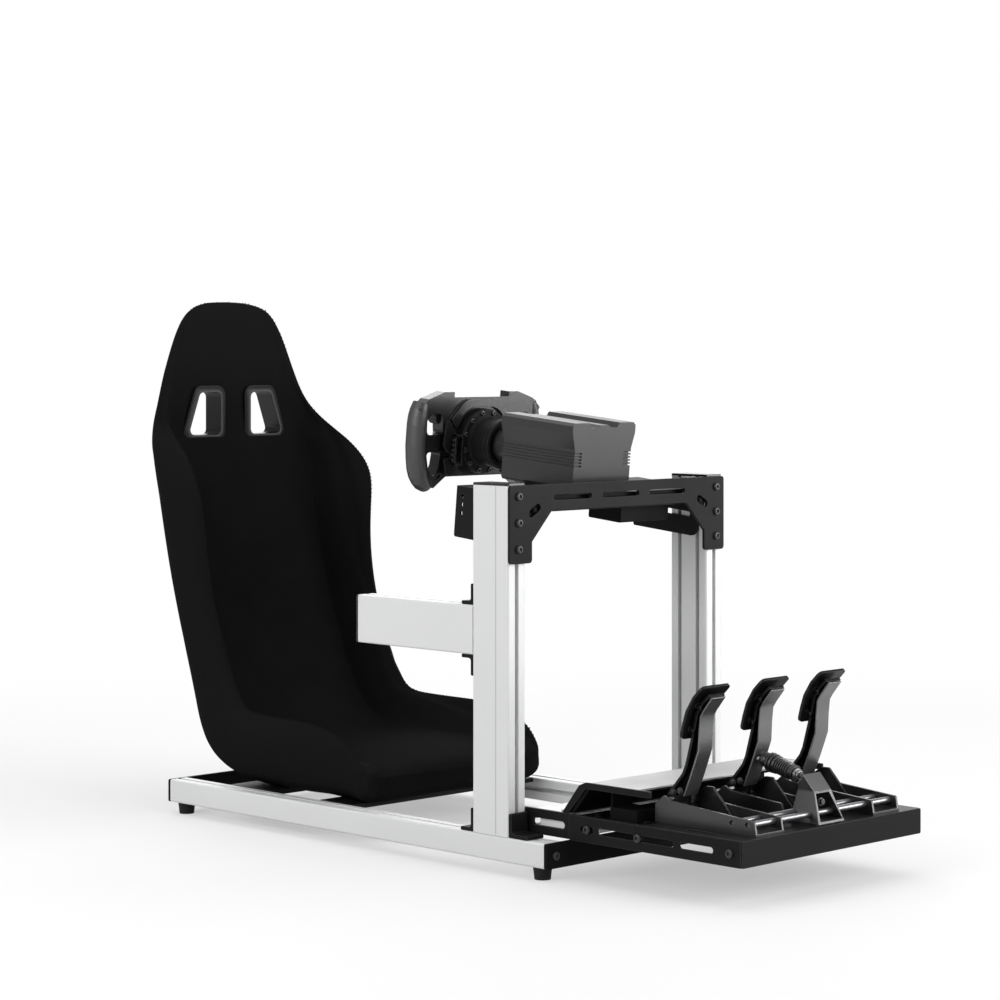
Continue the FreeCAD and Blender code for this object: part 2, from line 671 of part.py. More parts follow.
bracketShape = [
    (baseRear + 28, soleTop, 0), (pivotX + 78, soleTop, 0), (pivotX + 78, highEdge + 12, 2),
    (pivotX + 37, highEdge + 55, 4), (pivotX + 23, highEdge + 55, 4), (pivotX, highEdge + 40, 6),
]
for label, centre in (("throttle", -1), ("brake", 0), ("clutch", 1)):
    middle = "%d * pedalSpacing" % centre
    wallFront = baseFront if centre else portalRear - 2
    walls = []
    for side in (-1, 1):
        outside = side == centre
        loops = [wallCorners(wallFront, 23 if centre else 27)]
        loops += tipHoles if outside else []
        holes = rodSpots if centre and not outside else []
        start = "-(%s + pedalBaseWidth / 2)" if side > 0 else "-(%s - pedalBaseWidth / 2 + pedalWall)"
        walls.append(prism("%sWall%d" % (label, side + 2), "XZ", loops, start % middle, "pedalWall", holes))
    innerAt = "-(%s + pedalArmWidth / 2 + 9)" % middle
    inner = prism(label + "Inner", "XZ", [bracketShape], innerAt, "pedalWall")
    sole = box(label + "Sole", "baseRear", middle + " - pedalBaseWidth / 2",
               "trayTop", "baseFront - baseRear", "pedalBaseWidth", "pedalWall")
    pinAt = Vector(pivotX, centre * size("pedalSpacing") - size("pedalBaseWidth") / 2, pivotZ)
    pin = cylinder(label + "Pin", "pinRadius", "pedalBaseWidth", Placement(pinAt, acrossY))
    keep(fused(label + "_base", walls + [inner, sole, pin]))

# Two rods tie the three pedal bases together.
rods = []
rodRun = "2 * pedalSpacing + pedalBaseWidth - 2 * pedalWall - 2 * pinPlay"
for number, (along, level, radius) in enumerate(rodSpots, 1):
    rodEnd = size("pedalSpacing") + size("pedalBaseWidth") / 2 - size("pedalWall") - size("pinPlay")
    rodAt = Vector(along, -rodEnd, level)
    rods.append(cylinder("crossRod%d" % number, "rodRadius", rodRun, Placement(rodAt, acrossY)))
keep(together("pedal_rods", rods))

# Pedals: arm bent as a channel open to the driver, with a curved pad on its flanges.
armLocal = [
    (-11, -11, 10.5), (12, -11, 10.5), (15, 26, 20), (28, 76, 30), (35, 127, 30), (41, 148, 20), (64, 175, 3),
    (54, 179.885, 0), (34, 159.5, 30), (25, 138.5, 30), (12.5, 108.5, 0), (2, 74, 30), (-26, 24, 12),
]
bend = size("pedalSheet")
channelLocal = [
    (10, 24, 8), (28 - bend - 0.5, 76, 30), (35 - bend - 0.3, 127, 30), (41 - bend, 150, 18),
    (64 - bend, 183, 0), (20, 200, 0), (-40, 90, 0), (-40, 24, 0),
]
padLocal = [
    (8, 111, 1.5), (12.5, 108.5, 0), (25, 138.5, 30), (34, 159.5, 30), (60, 186, 1.5), (56, 190, 1.5),
    (30, 162.5, 34), (20.5, 141, 34),
]
armCorners = shifted(armLocal, pivotX, pivotZ)
channelCorners = shifted(channelLocal, pivotX, pivotZ)
padCorners = shifted(padLocal, pivotX, pivotZ)
for label, centre in (("throttle", -1), ("brake", 0), ("clutch", 1)):
    middle = "%d * pedalSpacing" % centre
    armHole = [(pivotX, pivotZ, size("pinRadius") + size("pinPlay"))]
    armAt = "-(%s + pedalArmWidth / 2)" % middle
    armBlock = prism(label + "Bar", "XZ", [armCorners], armAt, "pedalArmWidth", armHole)
    channelAt = armAt + " + pedalSheet"
    channelRun = "pedalArmWidth - 2 * pedalSheet"
    channel = prism(label + "Channel", "XZ", [channelCorners], channelAt, channelRun)
    keep(cutOut(label + "_arm", armBlock, channel))
    keep(prism(label + "_pad", "XZ", [padCorners], "-(%s + pedalPadWidth / 2)" % middle, "pedalPadWidth"))

# Brake portal: a leaning arch on the brake base that guides the damper rod.
portalSide = [
    (portalRear, soleTop, 0), (trayEnd, soleTop, 0), (portalRear + 46, 156, 6), (portalRear + 36, 178, 8),
    (portalRear + 4, 178, 8),
]
portalSpan = size("pedalBaseWidth") / 2 - 1
portalFace = [
    (-portalSpan, soleTop, 0), (portalSpan, soleTop, 0), (22, 152, 8),
    (21, 180, 0), (-21, 180, 0), (-22, 152, 8),
]
portalGap = [
    (-portalSpan + 9, soleTop, 0), (portalSpan - 9, soleTop, 0), (13, 146, 8), (-13, 146, 8),
]
damperLean = Placement(Vector(size("railFront") + 224, 0, 186), Rotation(Vector(0, 1, 0), 105))
portalBlock = prism("portalBlock", "XZ", [portalSide], "-pedalBaseWidth / 2", "pedalBaseWidth", rodSpots)
portalArch = prism("portalArch", "YZ", [portalFace, portalGap], "railFront", "trayFront - railFront")
portalSolid = doc.addObject("Part::MultiCommon", "portalSolid")
portalSolid.Shapes = [portalBlock, portalArch]
bore = cylinder("portalBore", "damperRod + pinPlay", "140", damperLean)
keep(cutOut("brake_portal", portalSolid, bore))

# Brake damper: clevis, a stack of elastomer discs and the rod that slides through the portal.
rod = size("damperRod")
disc = size("damperDisc")
step = size("damperStep")
damperShape = [(0, 0, 0), (7.5, 0, 0), (9, 1.5, 0), (9, 14, 0)]
for number in range(5):
    start = 14 + number * step
    finish = start + step
    damperShape += [(disc - 4, start, 0), (disc, start + 1.5, 0)]
    damperShape += [(disc, finish - 2, 0), (disc - 4, finish - 0.5, 0)]
damperShape += [(9, 14 + 5 * step, 0), (9, 19 + 5 * step, 0), (8, 20 + 5 * step, 0), (rod, 20 + 5 * step, 0)]
damperShape += [(rod, 121, 0), (rod - 1, 122, 0), (0, 122, 0)]
keep(turned("brake_damper", damperShape, damperLean))

# Cross plates between the rails, flush with their tops, which carry the seat.
plateRun = "2 * railInner"
plateLow = "railTop - seatPlateThick"
plateEdge = "-railInner"
frontSeat = box("frontSeatPlate", "railFront - 531", plateEdge, plateLow, "114", plateRun, "seatPlateThick")
rearSeat = box("rearSeatPlate", "railFront - 815", plateEdge, plateLow, "110", plateRun, "seatPlateThick")
keep(together("seat_cross_plates", [frontSeat, rearSeat]))

# Bucket seat: U sections along a line from the front lip to the head, joined by a loft.
sections = [
    (-467, 70, -467, 104, 30, 205, 212, 0.95), (-474, 61, -478, 128, 50, 213, 222, 0.95),
    (-494, 60, -500, 152, 58, 216, 226, 0.94), (-535, 60, -540, 176, 63, 216, 229, 0.93),
    (-600, 60, -605, 189, 67, 216, 231, 0.93), (-670, 60, -670, 192, 68, 215, 232, 0.93),
    (-745, 60, -735, 193, 68, 212, 232, 0.93), (-800, 62, -778, 196, 68, 206, 231, 0.93),
    (-850, 72, -798, 202, 68, 201, 230, 0.92), (-900, 98, -812, 212, 66, 198, 230, 0.9),
    (-940, 152, -826, 230, 57, 197, 229, 0.88), (-966, 222, -842, 250, 46, 196, 228, 0.86),
    (-1006, 347, -882, 338, 38, 196, 228, 0.86), (-1038, 455, -908, 448, 34, 196, 230, 0.86),
    (-1064, 560, -910, 545, 32, 204, 238, 0.85), (-1082, 632, -916, 604, 28, 212, 244, 0.84),
    (-1098, 672, -960, 652, 26, 209, 234, 0.82), (-1103, 704, -1025, 692, 26, 196, 202, 0.85),
    (-1105, 736, -1064, 732, 26, 172, 177, 0.86), (-1108, 790, -1072, 790, 28, 146, 159, 0.86),
    (-1112, 858, -1076, 860, 30, 114, 131, 0.86), (-1111, 906, -1086, 908, 20, 80, 93, 0.86),
    (-1106, 924, -1094, 926, 8, 52, 64, 0.86),
]
seatSketches = []
for number, (ox, oz, cx, cz, padDepth, crest, outer, corner) in enumerate(sections, 1):
    rise = Vector(cx - ox, 0, cz - oz)
    depth = rise.Length
    rise.normalize()
    across = Vector(0, 1, 0)
    sketch = doc.addObject("Sketcher::SketchObject", "seatSection%02d" % number)
    turn = Rotation(across, rise, across.cross(rise), "XYZ")
    sketch.Placement = Placement(Vector(size("railFront") + ox, 0, oz), turn)
    wall = outer - crest
    flank = depth - padDepth
    half = [
        (0, 0), (outer * (corner - 0.22), 0), (outer * corner, depth * (1 - corner) * 0.9),
        (outer, depth * 0.42),
        (outer - wall * 0.3, depth * 0.85), (crest, depth), (crest - wall * 0.5, depth - flank * 0.3),
        (crest - wall, padDepth + flank * 0.3), (crest * 0.66, padDepth), (crest * 0.3, padDepth * 0.98),
        (0, padDepth * 0.98),
    ]
    ring = [Vector(px, py, 0) for px, py in half]
    for first, last in zip(ring, ring[1:] + ring[:1]):
        sketch.addGeometry(Part.LineSegment(first, last), False)
    seatSketches.append(sketch)
halfSeat = doc.addObject("Part::Loft", "seatHalf")
halfSeat.Sections = seatSketches
halfSeat.Solid = True
halfSeat.Ruled = False
otherHalf = doc.addObject("Part::Mirroring", "seatOtherHalf")
otherHalf.Source = halfSeat
otherHalf.Normal = Vector(0, 1, 0)
seatWhole = fused("seatWhole", [halfSeat, otherHalf])

# Harness openings through the back, each lined with a plastic trim.
low = size("harnessLow")
top = size("harnessHigh")
near = size("harnessInner")
rim = size("trimWide")
beltHole = [
    (near, low, 9), (size("harnessOuterLow"), low, 12), (size("harnessOuterHigh"), top, 9), (near, top, 9),
]
trimRing = [
    (near - rim, low - rim, 16), (size("harnessOuterLow") + rim + 4, low - rim, 18),
    (size("harnessOuterHigh") + rim, top + rim, 16), (near - rim, top + rim, 16),
]
trims = []
trimCuts = []
for name, side in (("Left", 1), ("Right", -1)):
    hole = beltHole if side > 0 else mirrored(beltHole)
    ring = trimRing if side > 0 else mirrored(trimRing)
    trims.append(prism("trim" + name, "YZ", [ring, hole], "railFront - 1108", "trimDeep"))
    trimCuts.append(prism("trimCut" + name, "YZ", [ring], "railFront - 1200", "200"))
keep(together("harness_trims", trims))
seatUnder = box("seatUnder", "railFront - 1000", "-railOuter", "0", "600", "2 * railOuter", "seatPlateTop")
keep(cutOut("bucket_seat", seatWhole, together("seatCuts", trimCuts + [seatUnder])))

doc.recompute()
for item in doc.Objects:
    if "Invalid" in item.State or "Error" in item.State:
        raise RuntimeError("object %s is %s" % (item.Label, item.State))

os.makedirs("parts", exist_ok=True)
for item in nodes:
    if item.Shape.isNull() or not item.Shape.isValid():
        raise RuntimeError("shape of %s is not valid" % item.Label)
    item.Shape.exportStep(os.path.join("parts", item.Label + ".step"))
    limits = item.Shape.BoundBox
    extents = (limits.XMin, limits.XMax, limits.YMin, limits.YMax, limits.ZMin, limits.ZMax)
    spans = " ".join("%.1f" % limit for limit in extents)
    print("%-24s solids %d" % (item.Label, len(item.Shape.Solids)), spans)
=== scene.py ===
import json
import math
import bmesh
import bpy
from mathutils import Matrix, Vector
from mathutils.bvhtree import BVHTree


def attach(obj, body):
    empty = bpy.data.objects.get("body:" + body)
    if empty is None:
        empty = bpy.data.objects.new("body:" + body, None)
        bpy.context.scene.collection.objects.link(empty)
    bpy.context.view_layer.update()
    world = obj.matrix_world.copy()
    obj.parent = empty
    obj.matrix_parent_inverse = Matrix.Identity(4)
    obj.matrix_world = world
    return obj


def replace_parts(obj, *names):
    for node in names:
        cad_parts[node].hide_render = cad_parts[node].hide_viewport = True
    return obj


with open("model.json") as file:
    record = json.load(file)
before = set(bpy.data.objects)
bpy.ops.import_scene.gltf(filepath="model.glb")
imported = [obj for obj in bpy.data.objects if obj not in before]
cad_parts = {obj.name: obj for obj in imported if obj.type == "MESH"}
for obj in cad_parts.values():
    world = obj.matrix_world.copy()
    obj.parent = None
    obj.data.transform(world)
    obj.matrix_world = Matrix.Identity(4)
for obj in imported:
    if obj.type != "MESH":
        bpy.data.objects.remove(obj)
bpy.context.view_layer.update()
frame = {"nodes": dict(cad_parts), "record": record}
cadNodes = frame["nodes"]
scene = bpy.context.scene
print("frame loaded:", len(cadNodes), "CAD nodes")

# camera at the photograph's place, level, looking across the cockpit from its front right
cameraSpec = {"place": (3.393, -3.380, 0.825), "turn": (90, 0, 45), "lens": 100, "shiftY": -0.145}
cameraData = bpy.data.cameras.new("photoCamera")
cameraData.lens = cameraSpec["lens"]
cameraData.sensor_width = 36
cameraData.shift_y = cameraSpec["shiftY"]
cameraData.clip_end = 80
camera = bpy.data.objects.new("photoCamera", cameraData)
camera.location = cameraSpec["place"]
camera.rotation_euler = [math.radians(angle) for angle in cameraSpec["turn"]]
scene.collection.objects.link(camera)
scene.camera = camera

# soft boxes round the stand: place, size, watts
lampSpec = {
    "overheadBox": ((-0.3, 0.4, 3.4), (4.2, 4.2), 64),
    "frontBox": ((3.2, 0.6, 1.9), (2.2, 1.8), 46),
    "sideBox": ((-0.3, -3.3, 1.7), (2.4, 1.8), 62),
    "backBox": ((-2.8, 1.8, 2.4), (2.0, 1.6), 30),
    "farBox": ((2.9, 2.7, 1.0), (1.6, 1.6), 64),
    "backCard": ((-4.2, 4.2, 1.3), (7.0, 3.0), 90),
}
aim = Vector((0.0, 0.0, 0.4))
for lampName, (place, extent, watts) in lampSpec.items():
    lampData = bpy.data.lights.new(lampName, "AREA")
    lampData.shape = "RECTANGLE"
    lampData.size, lampData.size_y = extent
    lampData.energy = watts
    lamp = bpy.data.objects.new(lampName, lampData)
    lamp.location = place
    lamp.visible_camera = False
    lamp.rotation_euler = (aim - Vector(place)).to_track_quat("-Z", "Y").to_euler()
    scene.collection.objects.link(lamp)


def addNode(tree, kind, operation=None, values=None):
    # a shader node with its operation and the plain values of its inputs
    node = tree.nodes.new("ShaderNode" + kind)
    if operation:
        node.operation = operation
    for key, value in (values or {}).items():
        node.inputs[key].default_value = value
    return node


def join(tree, *links):
    # each link is a node and its output, then a node and its input
    for source, output, target, entry in links:
        tree.links.new(source.outputs[output], target.inputs[entry])


def smoothSpan(tree, span):
    # a smooth rise from 0 to 1 over a span
    rise = addNode(tree, "MapRange", None, {"From Min": span[0], "From Max": span[1]})
    rise.interpolation_type = "SMOOTHSTEP"
    return rise


# even fill light; the camera sees white, and gloss sees a share of it
worldSpec = {"fill": 0.34, "white": (1.0, 1.0, 1.0, 1.0), "mirrored": 0.16}
world = bpy.data.worlds.new("studioWorld")
scene.world = world
world.use_nodes = True
worldTree = world.node_tree
worldTree.nodes.clear()
rayKind = addNode(worldTree, "LightPath")
seenDirect = addNode(worldTree, "Math", "MAXIMUM")
mirrored = addNode(worldTree, "Math", "MULTIPLY", {1: worldSpec["mirrored"]})
seenAll = addNode(worldTree, "Math", "MAXIMUM")
fillLight = addNode(
    worldTree, "Background", None, {"Color": worldSpec["white"], "Strength": worldSpec["fill"]}
)
whiteWall = addNode(worldTree, "Background", None, {"Color": worldSpec["white"]})
worldMix = addNode(worldTree, "MixShader")
worldOut = addNode(worldTree, "OutputWorld")
join(
    worldTree,
    (rayKind, "Is Camera Ray", seenDirect, 0), (rayKind, "Is Transmission Ray", seenDirect, 1),
    (seenDirect, 0, seenAll, 0), (rayKind, "Is Glossy Ray", mirrored, 0), (mirrored, 0, seenAll, 1),
    (seenAll, 0, worldMix, "Fac"), (fillLight, 0, worldMix, 1), (whiteWall, 0, worldMix, 2),
    (worldMix, 0, worldOut, "Surface"),
)
scene.view_settings.view_transform = "Standard"


def addObject(name, build):
    mesh = bpy.data.meshes.new(name)
    build.to_mesh(mesh)
    build.free()
    piece = bpy.data.objects.new(name, mesh)
    scene.collection.objects.link(piece)
    return piece


# pale floor that keeps the shadow near the object and turns white further out
floorSpec = {"half": 14.0, "pale": (0.45, 0.45, 0.45, 1.0), "glow": 0.44, "fade": (1.2, 2.8)}
floorBuild = bmesh.new()
bmesh.ops.create_grid(floorBuild, x_segments=2, y_segments=2, size=floorSpec["half"])
floor = addObject("paleFloor", floorBuild)
floorFinish = bpy.data.materials.new("paleFloor")
floorFinish.use_nodes = True
floorTree = floorFinish.node_tree
floorTree.nodes.clear()
floorRay = addNode(floorTree, "LightPath")
floorSeen = addNode(floorTree, "Math", "MAXIMUM")
floorCoord = addNode(floorTree, "TexCoord")
floorReach = addNode(floorTree, "VectorMath", "LENGTH")
floorFade = smoothSpan(floorTree, floorSpec["fade"])
floorMatte = addNode(floorTree, "BsdfDiffuse", None, {"Color": floorSpec["pale"]})
floorGlow = addNode(floorTree, "Emission")
floorGlowOn = addNode(floorTree, "Math", "MULTIPLY", {1: floorSpec["glow"]})
floorWhite = addNode(floorTree, "Emission")
floorFadeOn = addNode(floorTree, "Math", "MULTIPLY")
floorSum = addNode(floorTree, "AddShader")
floorMix = addNode(floorTree, "MixShader")
floorOut = addNode(floorTree, "OutputMaterial")
join(
    floorTree,
    (floorRay, "Is Camera Ray", floorSeen, 0), (floorRay, "Is Glossy Ray", floorSeen, 1),
    (floorSeen, 0, floorGlowOn, 0), (floorGlowOn, 0, floorGlow, "Strength"),
    (floorCoord, "Object", floorReach, 0), (floorReach, "Value", floorFade, "Value"),
    (floorFade, "Result", floorFadeOn, 0), (floorSeen, 0, floorFadeOn, 1), (floorMatte, 0, floorSum, 0),
    (floorGlow, 0, floorSum, 1), (floorFadeOn, 0, floorMix, "Fac"), (floorSum, 0, floorMix, 1),
    (floorWhite, 0, floorMix, 2), (floorMix, 0, floorOut, "Surface"),
)
floor.data.materials.append(floorFinish)
print("camera, lamps and floor placed")


# shared shading groups: they give masks, values and normals, never a shader
def newGroup(name, inputs, outputs):
    group = bpy.data.node_groups.new(name, "ShaderNodeTree")
    for label, value in inputs:
        socket = group.interface.new_socket(name=label, in_out="INPUT", socket_type="NodeSocketFloat")
        socket.default_value = value
    for label, kind in outputs:
        group.interface.new_socket(name=label, in_out="OUTPUT", socket_type=kind)
    return group, group.nodes.new("NodeGroupInput"), group.nodes.new("NodeGroupOutput")


# the Edge mask marks the rounded edges where each finish paints its edge highlight
def edgeGroup():
    group, into, out = newGroup(
        "softEdge", [("Radius", 0.0012), ("Gain", 6.0)],
        [("Normal", "NodeSocketVector"), ("Edge", "NodeSocketFloat")],
    )
    rounded = addNode(group, "Bevel")
    rounded.samples = 6
    surface = addNode(group, "NewGeometry")
    agree = addNode(group, "VectorMath", "DOT_PRODUCT")
    away = addNode(group, "Math", "SUBTRACT", {0: 1.0})
    gain = addNode(group, "Math", "MULTIPLY")
    gain.use_clamp = True
    join(
        group,
        (into, "Radius", rounded, "Radius"), (rounded, "Normal", agree, 0),
        (surface, "Normal", agree, 1), (agree, "Value", away, 1), (away, 0, gain, 0),
        (into, "Gain", gain, 1), (rounded, "Normal", out, "Normal"), (gain, 0, out, "Edge"),
    )
    return group


def grainGroup():
    group, into, out = newGroup(
        "fineGrain", [("Scale", 900.0), ("Mottle Scale", 9.0)],
        [("Grain", "NodeSocketFloat"), ("Mottle", "NodeSocketFloat")],
    )
    place = addNode(group, "TexCoord")
    for label, scale, detail in (("Grain", "Scale", 3.0), ("Mottle", "Mottle Scale", 4.0)):
        noise = addNode(group, "TexNoise", None, {"Detail": detail})
        join(
            group,
            (place, "Object", noise, "Vector"), (into, scale, noise, "Scale"),
            (noise, "Fac", out, label),
        )
    return group


def weaveGroup():
    group, into, out = newGroup(
        "clothWeave", [("Threads", 420.0)], [("Height", "NodeSocketFloat"), ("Shade", "NodeSocketFloat")]
    )
    place = addNode(group, "TexCoord")
    waves = addNode(group, "CombineXYZ")
    even = addNode(group, "VectorMath", "DOT_PRODUCT", {1: (1 / 3, 1 / 3, 1 / 3)})
    for axis in ("X", "Y", "Z"):
        wave = addNode(group, "TexWave", None, {"Distortion": 0.6, "Detail": 1.0})
        wave.bands_direction = axis
        join(
            group,
            (place, "Object", wave, "Vector"), (into, "Threads", wave, "Scale"), (wave, "Fac", waves, axis),
        )
    soft = addNode(group, "TexNoise", None, {"Scale": 14.0, "Detail": 3.0})
    join(
        group,
        (waves, 0, even, 0), (even, "Value", out, "Height"),
        (place, "Object", soft, "Vector"), (soft, "Fac", out, "Shade"),
    )
    return group


softEdge = edgeGroup()
fineGrain = grainGroup()
clothWeave = weaveGroup()

# each finish: two tones, the grey of its painted edge highlight and its share, roughness span, metal,
# specular level, grain and mottle scales, bump strength and edge radius; what it doesn't give is plain
plainFinish = {
    "edgeHighlightShare": 0.5, "metal": 0.0, "specular": 0.5, "grain": 1700, "mottle": 9, "bump": 0.04,
    "radius": 0.0012,
}
finishSpec = {
    "satinAluminium": {
        "slot": "aluminium_profile", "tone": (0.80, 0.803, 0.806), "tone2": (0.75, 0.753, 0.756),
        "edge": 0.92, "rough": (0.34, 0.46), "metal": 0.1, "grain": 1500, "mottle": 7, "bump": 0.03,
    },
    "powderBlack": {
        "slot": "black_steel", "tone": (0.008, 0.008, 0.0084), "tone2": (0.012, 0.012, 0.0124),
        "edge": 0.14, "rough": (0.36, 0.5), "specular": 0.08, "grain": 1300, "mottle": 6, "bump": 0.10,
        "radius": 0.0014,
    },
    "mouldedBlack": {
        "slot": "black_plastic", "tone": (0.006, 0.006, 0.0062), "tone2": (0.009, 0.009, 0.0093),
        "edge": 0.14, "rough": (0.18, 0.28), "mottle": 10, "bump": 0.06,
    },
    "pedalSatin": {
        "slot": "pedal_satin", "tone": (0.008, 0.008, 0.0083), "tone2": (0.012, 0.012, 0.0124),
        "edge": 0.2, "rough": (0.26, 0.36), "specular": 0.8,
    },
    # a bright metal copy of the pedals' black: painted light on the arms' front flanges and the portal's
    # roof; the upright seams borrow its grey as a dark line
    "litWebAndSeamSatin": {
        "slot": "lit_web_and_seam_satin", "tone": (0.15, 0.15, 0.152), "tone2": (0.20, 0.20, 0.202), "edge": 0.4,
        "rough": (0.26, 0.36), "metal": 0.75,
    },
    # a darker, duller copy of the pedals' black: painted shade on the arm bodies, pad sheets and harness
    # rings
    "armPaintedShade": {
        "slot": "arm_painted_shade", "tone": (0.003, 0.003, 0.0031), "tone2": (0.005, 0.005, 0.0051),
        "edge": 0.12, "rough": (0.32, 0.42), "specular": 0.25,
    },
    # a darker copy of the black steel: painted shade on the tie plates, the heel's underside, the under-deck
    # box and the deck backing
    "paintedShadeBlack": {
        "slot": "painted_shade_black", "tone": (0.002, 0.002, 0.0021), "tone2": (0.003, 0.003, 0.0031),
        "edge": 0.02, "edgeHighlightShare": 0.4, "rough": (0.6, 0.75), "specular": 0.12, "grain": 1300,
        "mottle": 7, "bump": 0.06,
    },
    "footRubber": {
        "slot": "rubber", "tone": (0.008, 0.008, 0.008), "tone2": (0.014, 0.014, 0.014), "edge": 0.05,
        "edgeHighlightShare": 0.3, "rough": (0.7, 0.85), "specular": 0.25, "grain": 800, "mottle": 20,
        "bump": 0.12, "radius": 0.0015,
    },
    "baseGrey": {
        "slot": "base_grey", "tone": (0.024, 0.024, 0.0255), "tone2": (0.032, 0.032, 0.0335), "edge": 0.3,
        "edgeHighlightShare": 0.12, "rough": (0.28, 0.38), "metal": 0.2, "specular": 0.45, "grain": 1600,
        "mottle": 8, "bump": 0.05, "radius": 0.0014,
    },
    "gripRubber": {
        "slot": "grip_rubber", "tone": (0.034, 0.034, 0.034), "tone2": (0.046, 0.046, 0.046),
        "edge": 0.08, "edgeHighlightShare": 0.3, "rough": (0.34, 0.44), "specular": 0.6, "grain": 700,
        "mottle": 16, "bump": 0.2, "radius": 0.0015,
    },
    "heelSheet": {
        "slot": "heel_sheet", "tone": (0.5, 0.5, 0.5), "tone2": (0.42, 0.42, 0.42), "edge": 0.75,
        "rough": (0.38, 0.52), "metal": 0.3, "grain": 1200, "mottle": 10, "bump": 0.05, "radius": 0.001,
    },
    "brightSteel": {
        "slot": "bright_steel", "tone": (0.3, 0.3, 0.31), "tone2": (0.22, 0.22, 0.23), "edge": 0.7,
        "rough": (0.24, 0.36), "metal": 0.8, "grain": 1800, "mottle": 14, "bump": 0.03, "radius": 0.0008,
    },
    "damperRubber": {
        "slot": "damper_rubber", "tone": (0.012, 0.012, 0.012), "tone2": (0.02, 0.02, 0.02), "edge": 0.1,
        "edgeHighlightShare": 0.4, "rough": (0.36, 0.5), "specular": 0.4, "grain": 900, "mottle": 18, "bump": 0.1,
        "radius": 0.0008,
    },
}
mottleSpan = (0.3, 0.7)
grainDepth = 0.001


def mixTone(tree, share, first, second):
    mix = addNode(tree, "Mix")
    mix.data_type = "RGBA"
    tree.links.new(share, mix.inputs["Factor"])
    for socket, value in ((mix.inputs["A"], first), (mix.inputs["B"], second)):
        if isinstance(value, tuple):
            socket.default_value = value + (1.0,)
        else:
            tree.links.new(value, socket)
    return mix.outputs["Result"]


def makeFinish(name, spec):
    finish = bpy.data.materials.new(name)
    finish.use_nodes = True
    tree = finish.node_tree
    shader = tree.nodes["Principled BSDF"]
    shader.inputs["Metallic"].default_value = spec["metal"]
    shader.inputs["Specular IOR Level"].default_value = spec["specular"]
    edge = addNode(tree, "Group")
    edge.node_tree = softEdge
    edge.inputs["Radius"].default_value = spec["radius"]
    grain = addNode(tree, "Group")
    grain.node_tree = fineGrain
    grain.inputs["Scale"].default_value = spec["grain"]
    grain.inputs["Mottle Scale"].default_value = spec["mottle"]
    body = mixTone(tree, grain.outputs["Mottle"], spec["tone"], spec["tone2"])
    # the edge grey is mixed in over the Edge mask as a painted highlight along every rounded edge
    share = addNode(tree, "Math", "MULTIPLY", {1: spec["edgeHighlightShare"]})
    paintedEdgeHighlight = mixTone(tree, share.outputs[0], body, (spec["edge"],) * 3)
    tree.links.new(paintedEdgeHighlight, shader.inputs["Base Color"])
    rough = addNode(tree, "MapRange", None, {
        "From Min": mottleSpan[0], "From Max": mottleSpan[1],
        "To Min": spec["rough"][0], "To Max": spec["rough"][1],
    })
    bump = addNode(tree, "Bump", None, {"Strength": spec["bump"], "Distance": grainDepth})
    join(
        tree,
        (edge, "Edge", share, 0), (grain, "Mottle", rough, "Value"),
        (rough, "Result", shader, "Roughness"), (grain, "Grain", bump, "Height"),
        (edge, "Normal", bump, "Normal"), (bump, "Normal", shader, "Normal"),
    )
    return finish


finishes = {}
for finishName, spec in finishSpec.items():
    finishes[spec["slot"]] = makeFinish(finishName, plainFinish | spec)

# seat cloth: matt black knit, painted a little brighter out on its sides and up on its head as painted light
clothSpec = {
    "tone": (0.0045, 0.0045, 0.0047), "tone2": (0.0075, 0.0075, 0.0078), "paintedLight": (0.0095, 0.0095, 0.0098),
    "litSideSpan": (0.175, 0.215), "litHeadSpan": (0.62, 0.86), "rough": 0.95, "specular": 0.025,
    "bump": 0.25, "threadDepth": 0.0006,
}
seatCloth = bpy.data.materials.new("seatCloth")
seatCloth.use_nodes = True
clothTree = seatCloth.node_tree
clothShader = clothTree.nodes["Principled BSDF"]
clothShader.inputs["Roughness"].default_value = clothSpec["rough"]
clothShader.inputs["Specular IOR Level"].default_value = clothSpec["specular"]
weave = addNode(clothTree, "Group")
weave.node_tree = clothWeave
clothPlace = addNode(clothTree, "TexCoord")
clothAxes = addNode(clothTree, "SeparateXYZ")
clothAside = addNode(clothTree, "Math", "ABSOLUTE")
paintedLightShare = addNode(clothTree, "Math", "MAXIMUM")
# painted light: the cloth's sides and head are mixed towards a brighter tone
for number, (source, output, key) in enumerate(((clothAside, 0, "litSideSpan"), (clothAxes, "Z", "litHeadSpan"))):
    span = smoothSpan(clothTree, clothSpec[key])
    join(clothTree, (source, output, span, "Value"), (span, "Result", paintedLightShare, number))
clothTone = mixTone(clothTree, weave.outputs["Shade"], clothSpec["tone"], clothSpec["tone2"])
clothTone = mixTone(clothTree, paintedLightShare.outputs[0], clothTone, clothSpec["paintedLight"])
clothTree.links.new(clothTone, clothShader.inputs["Base Color"])
clothBump = addNode(
    clothTree, "Bump", None, {"Strength": clothSpec["bump"], "Distance": clothSpec["threadDepth"]}
)
join(
    clothTree,
    (clothPlace, "Object", clothAxes, 0), (clothAxes, "Y", clothAside, 0),
    (weave, "Height", clothBump, "Height"), (clothBump, "Normal", clothShader, "Normal"),
)
finishes["seat_fabric"] = seatCloth

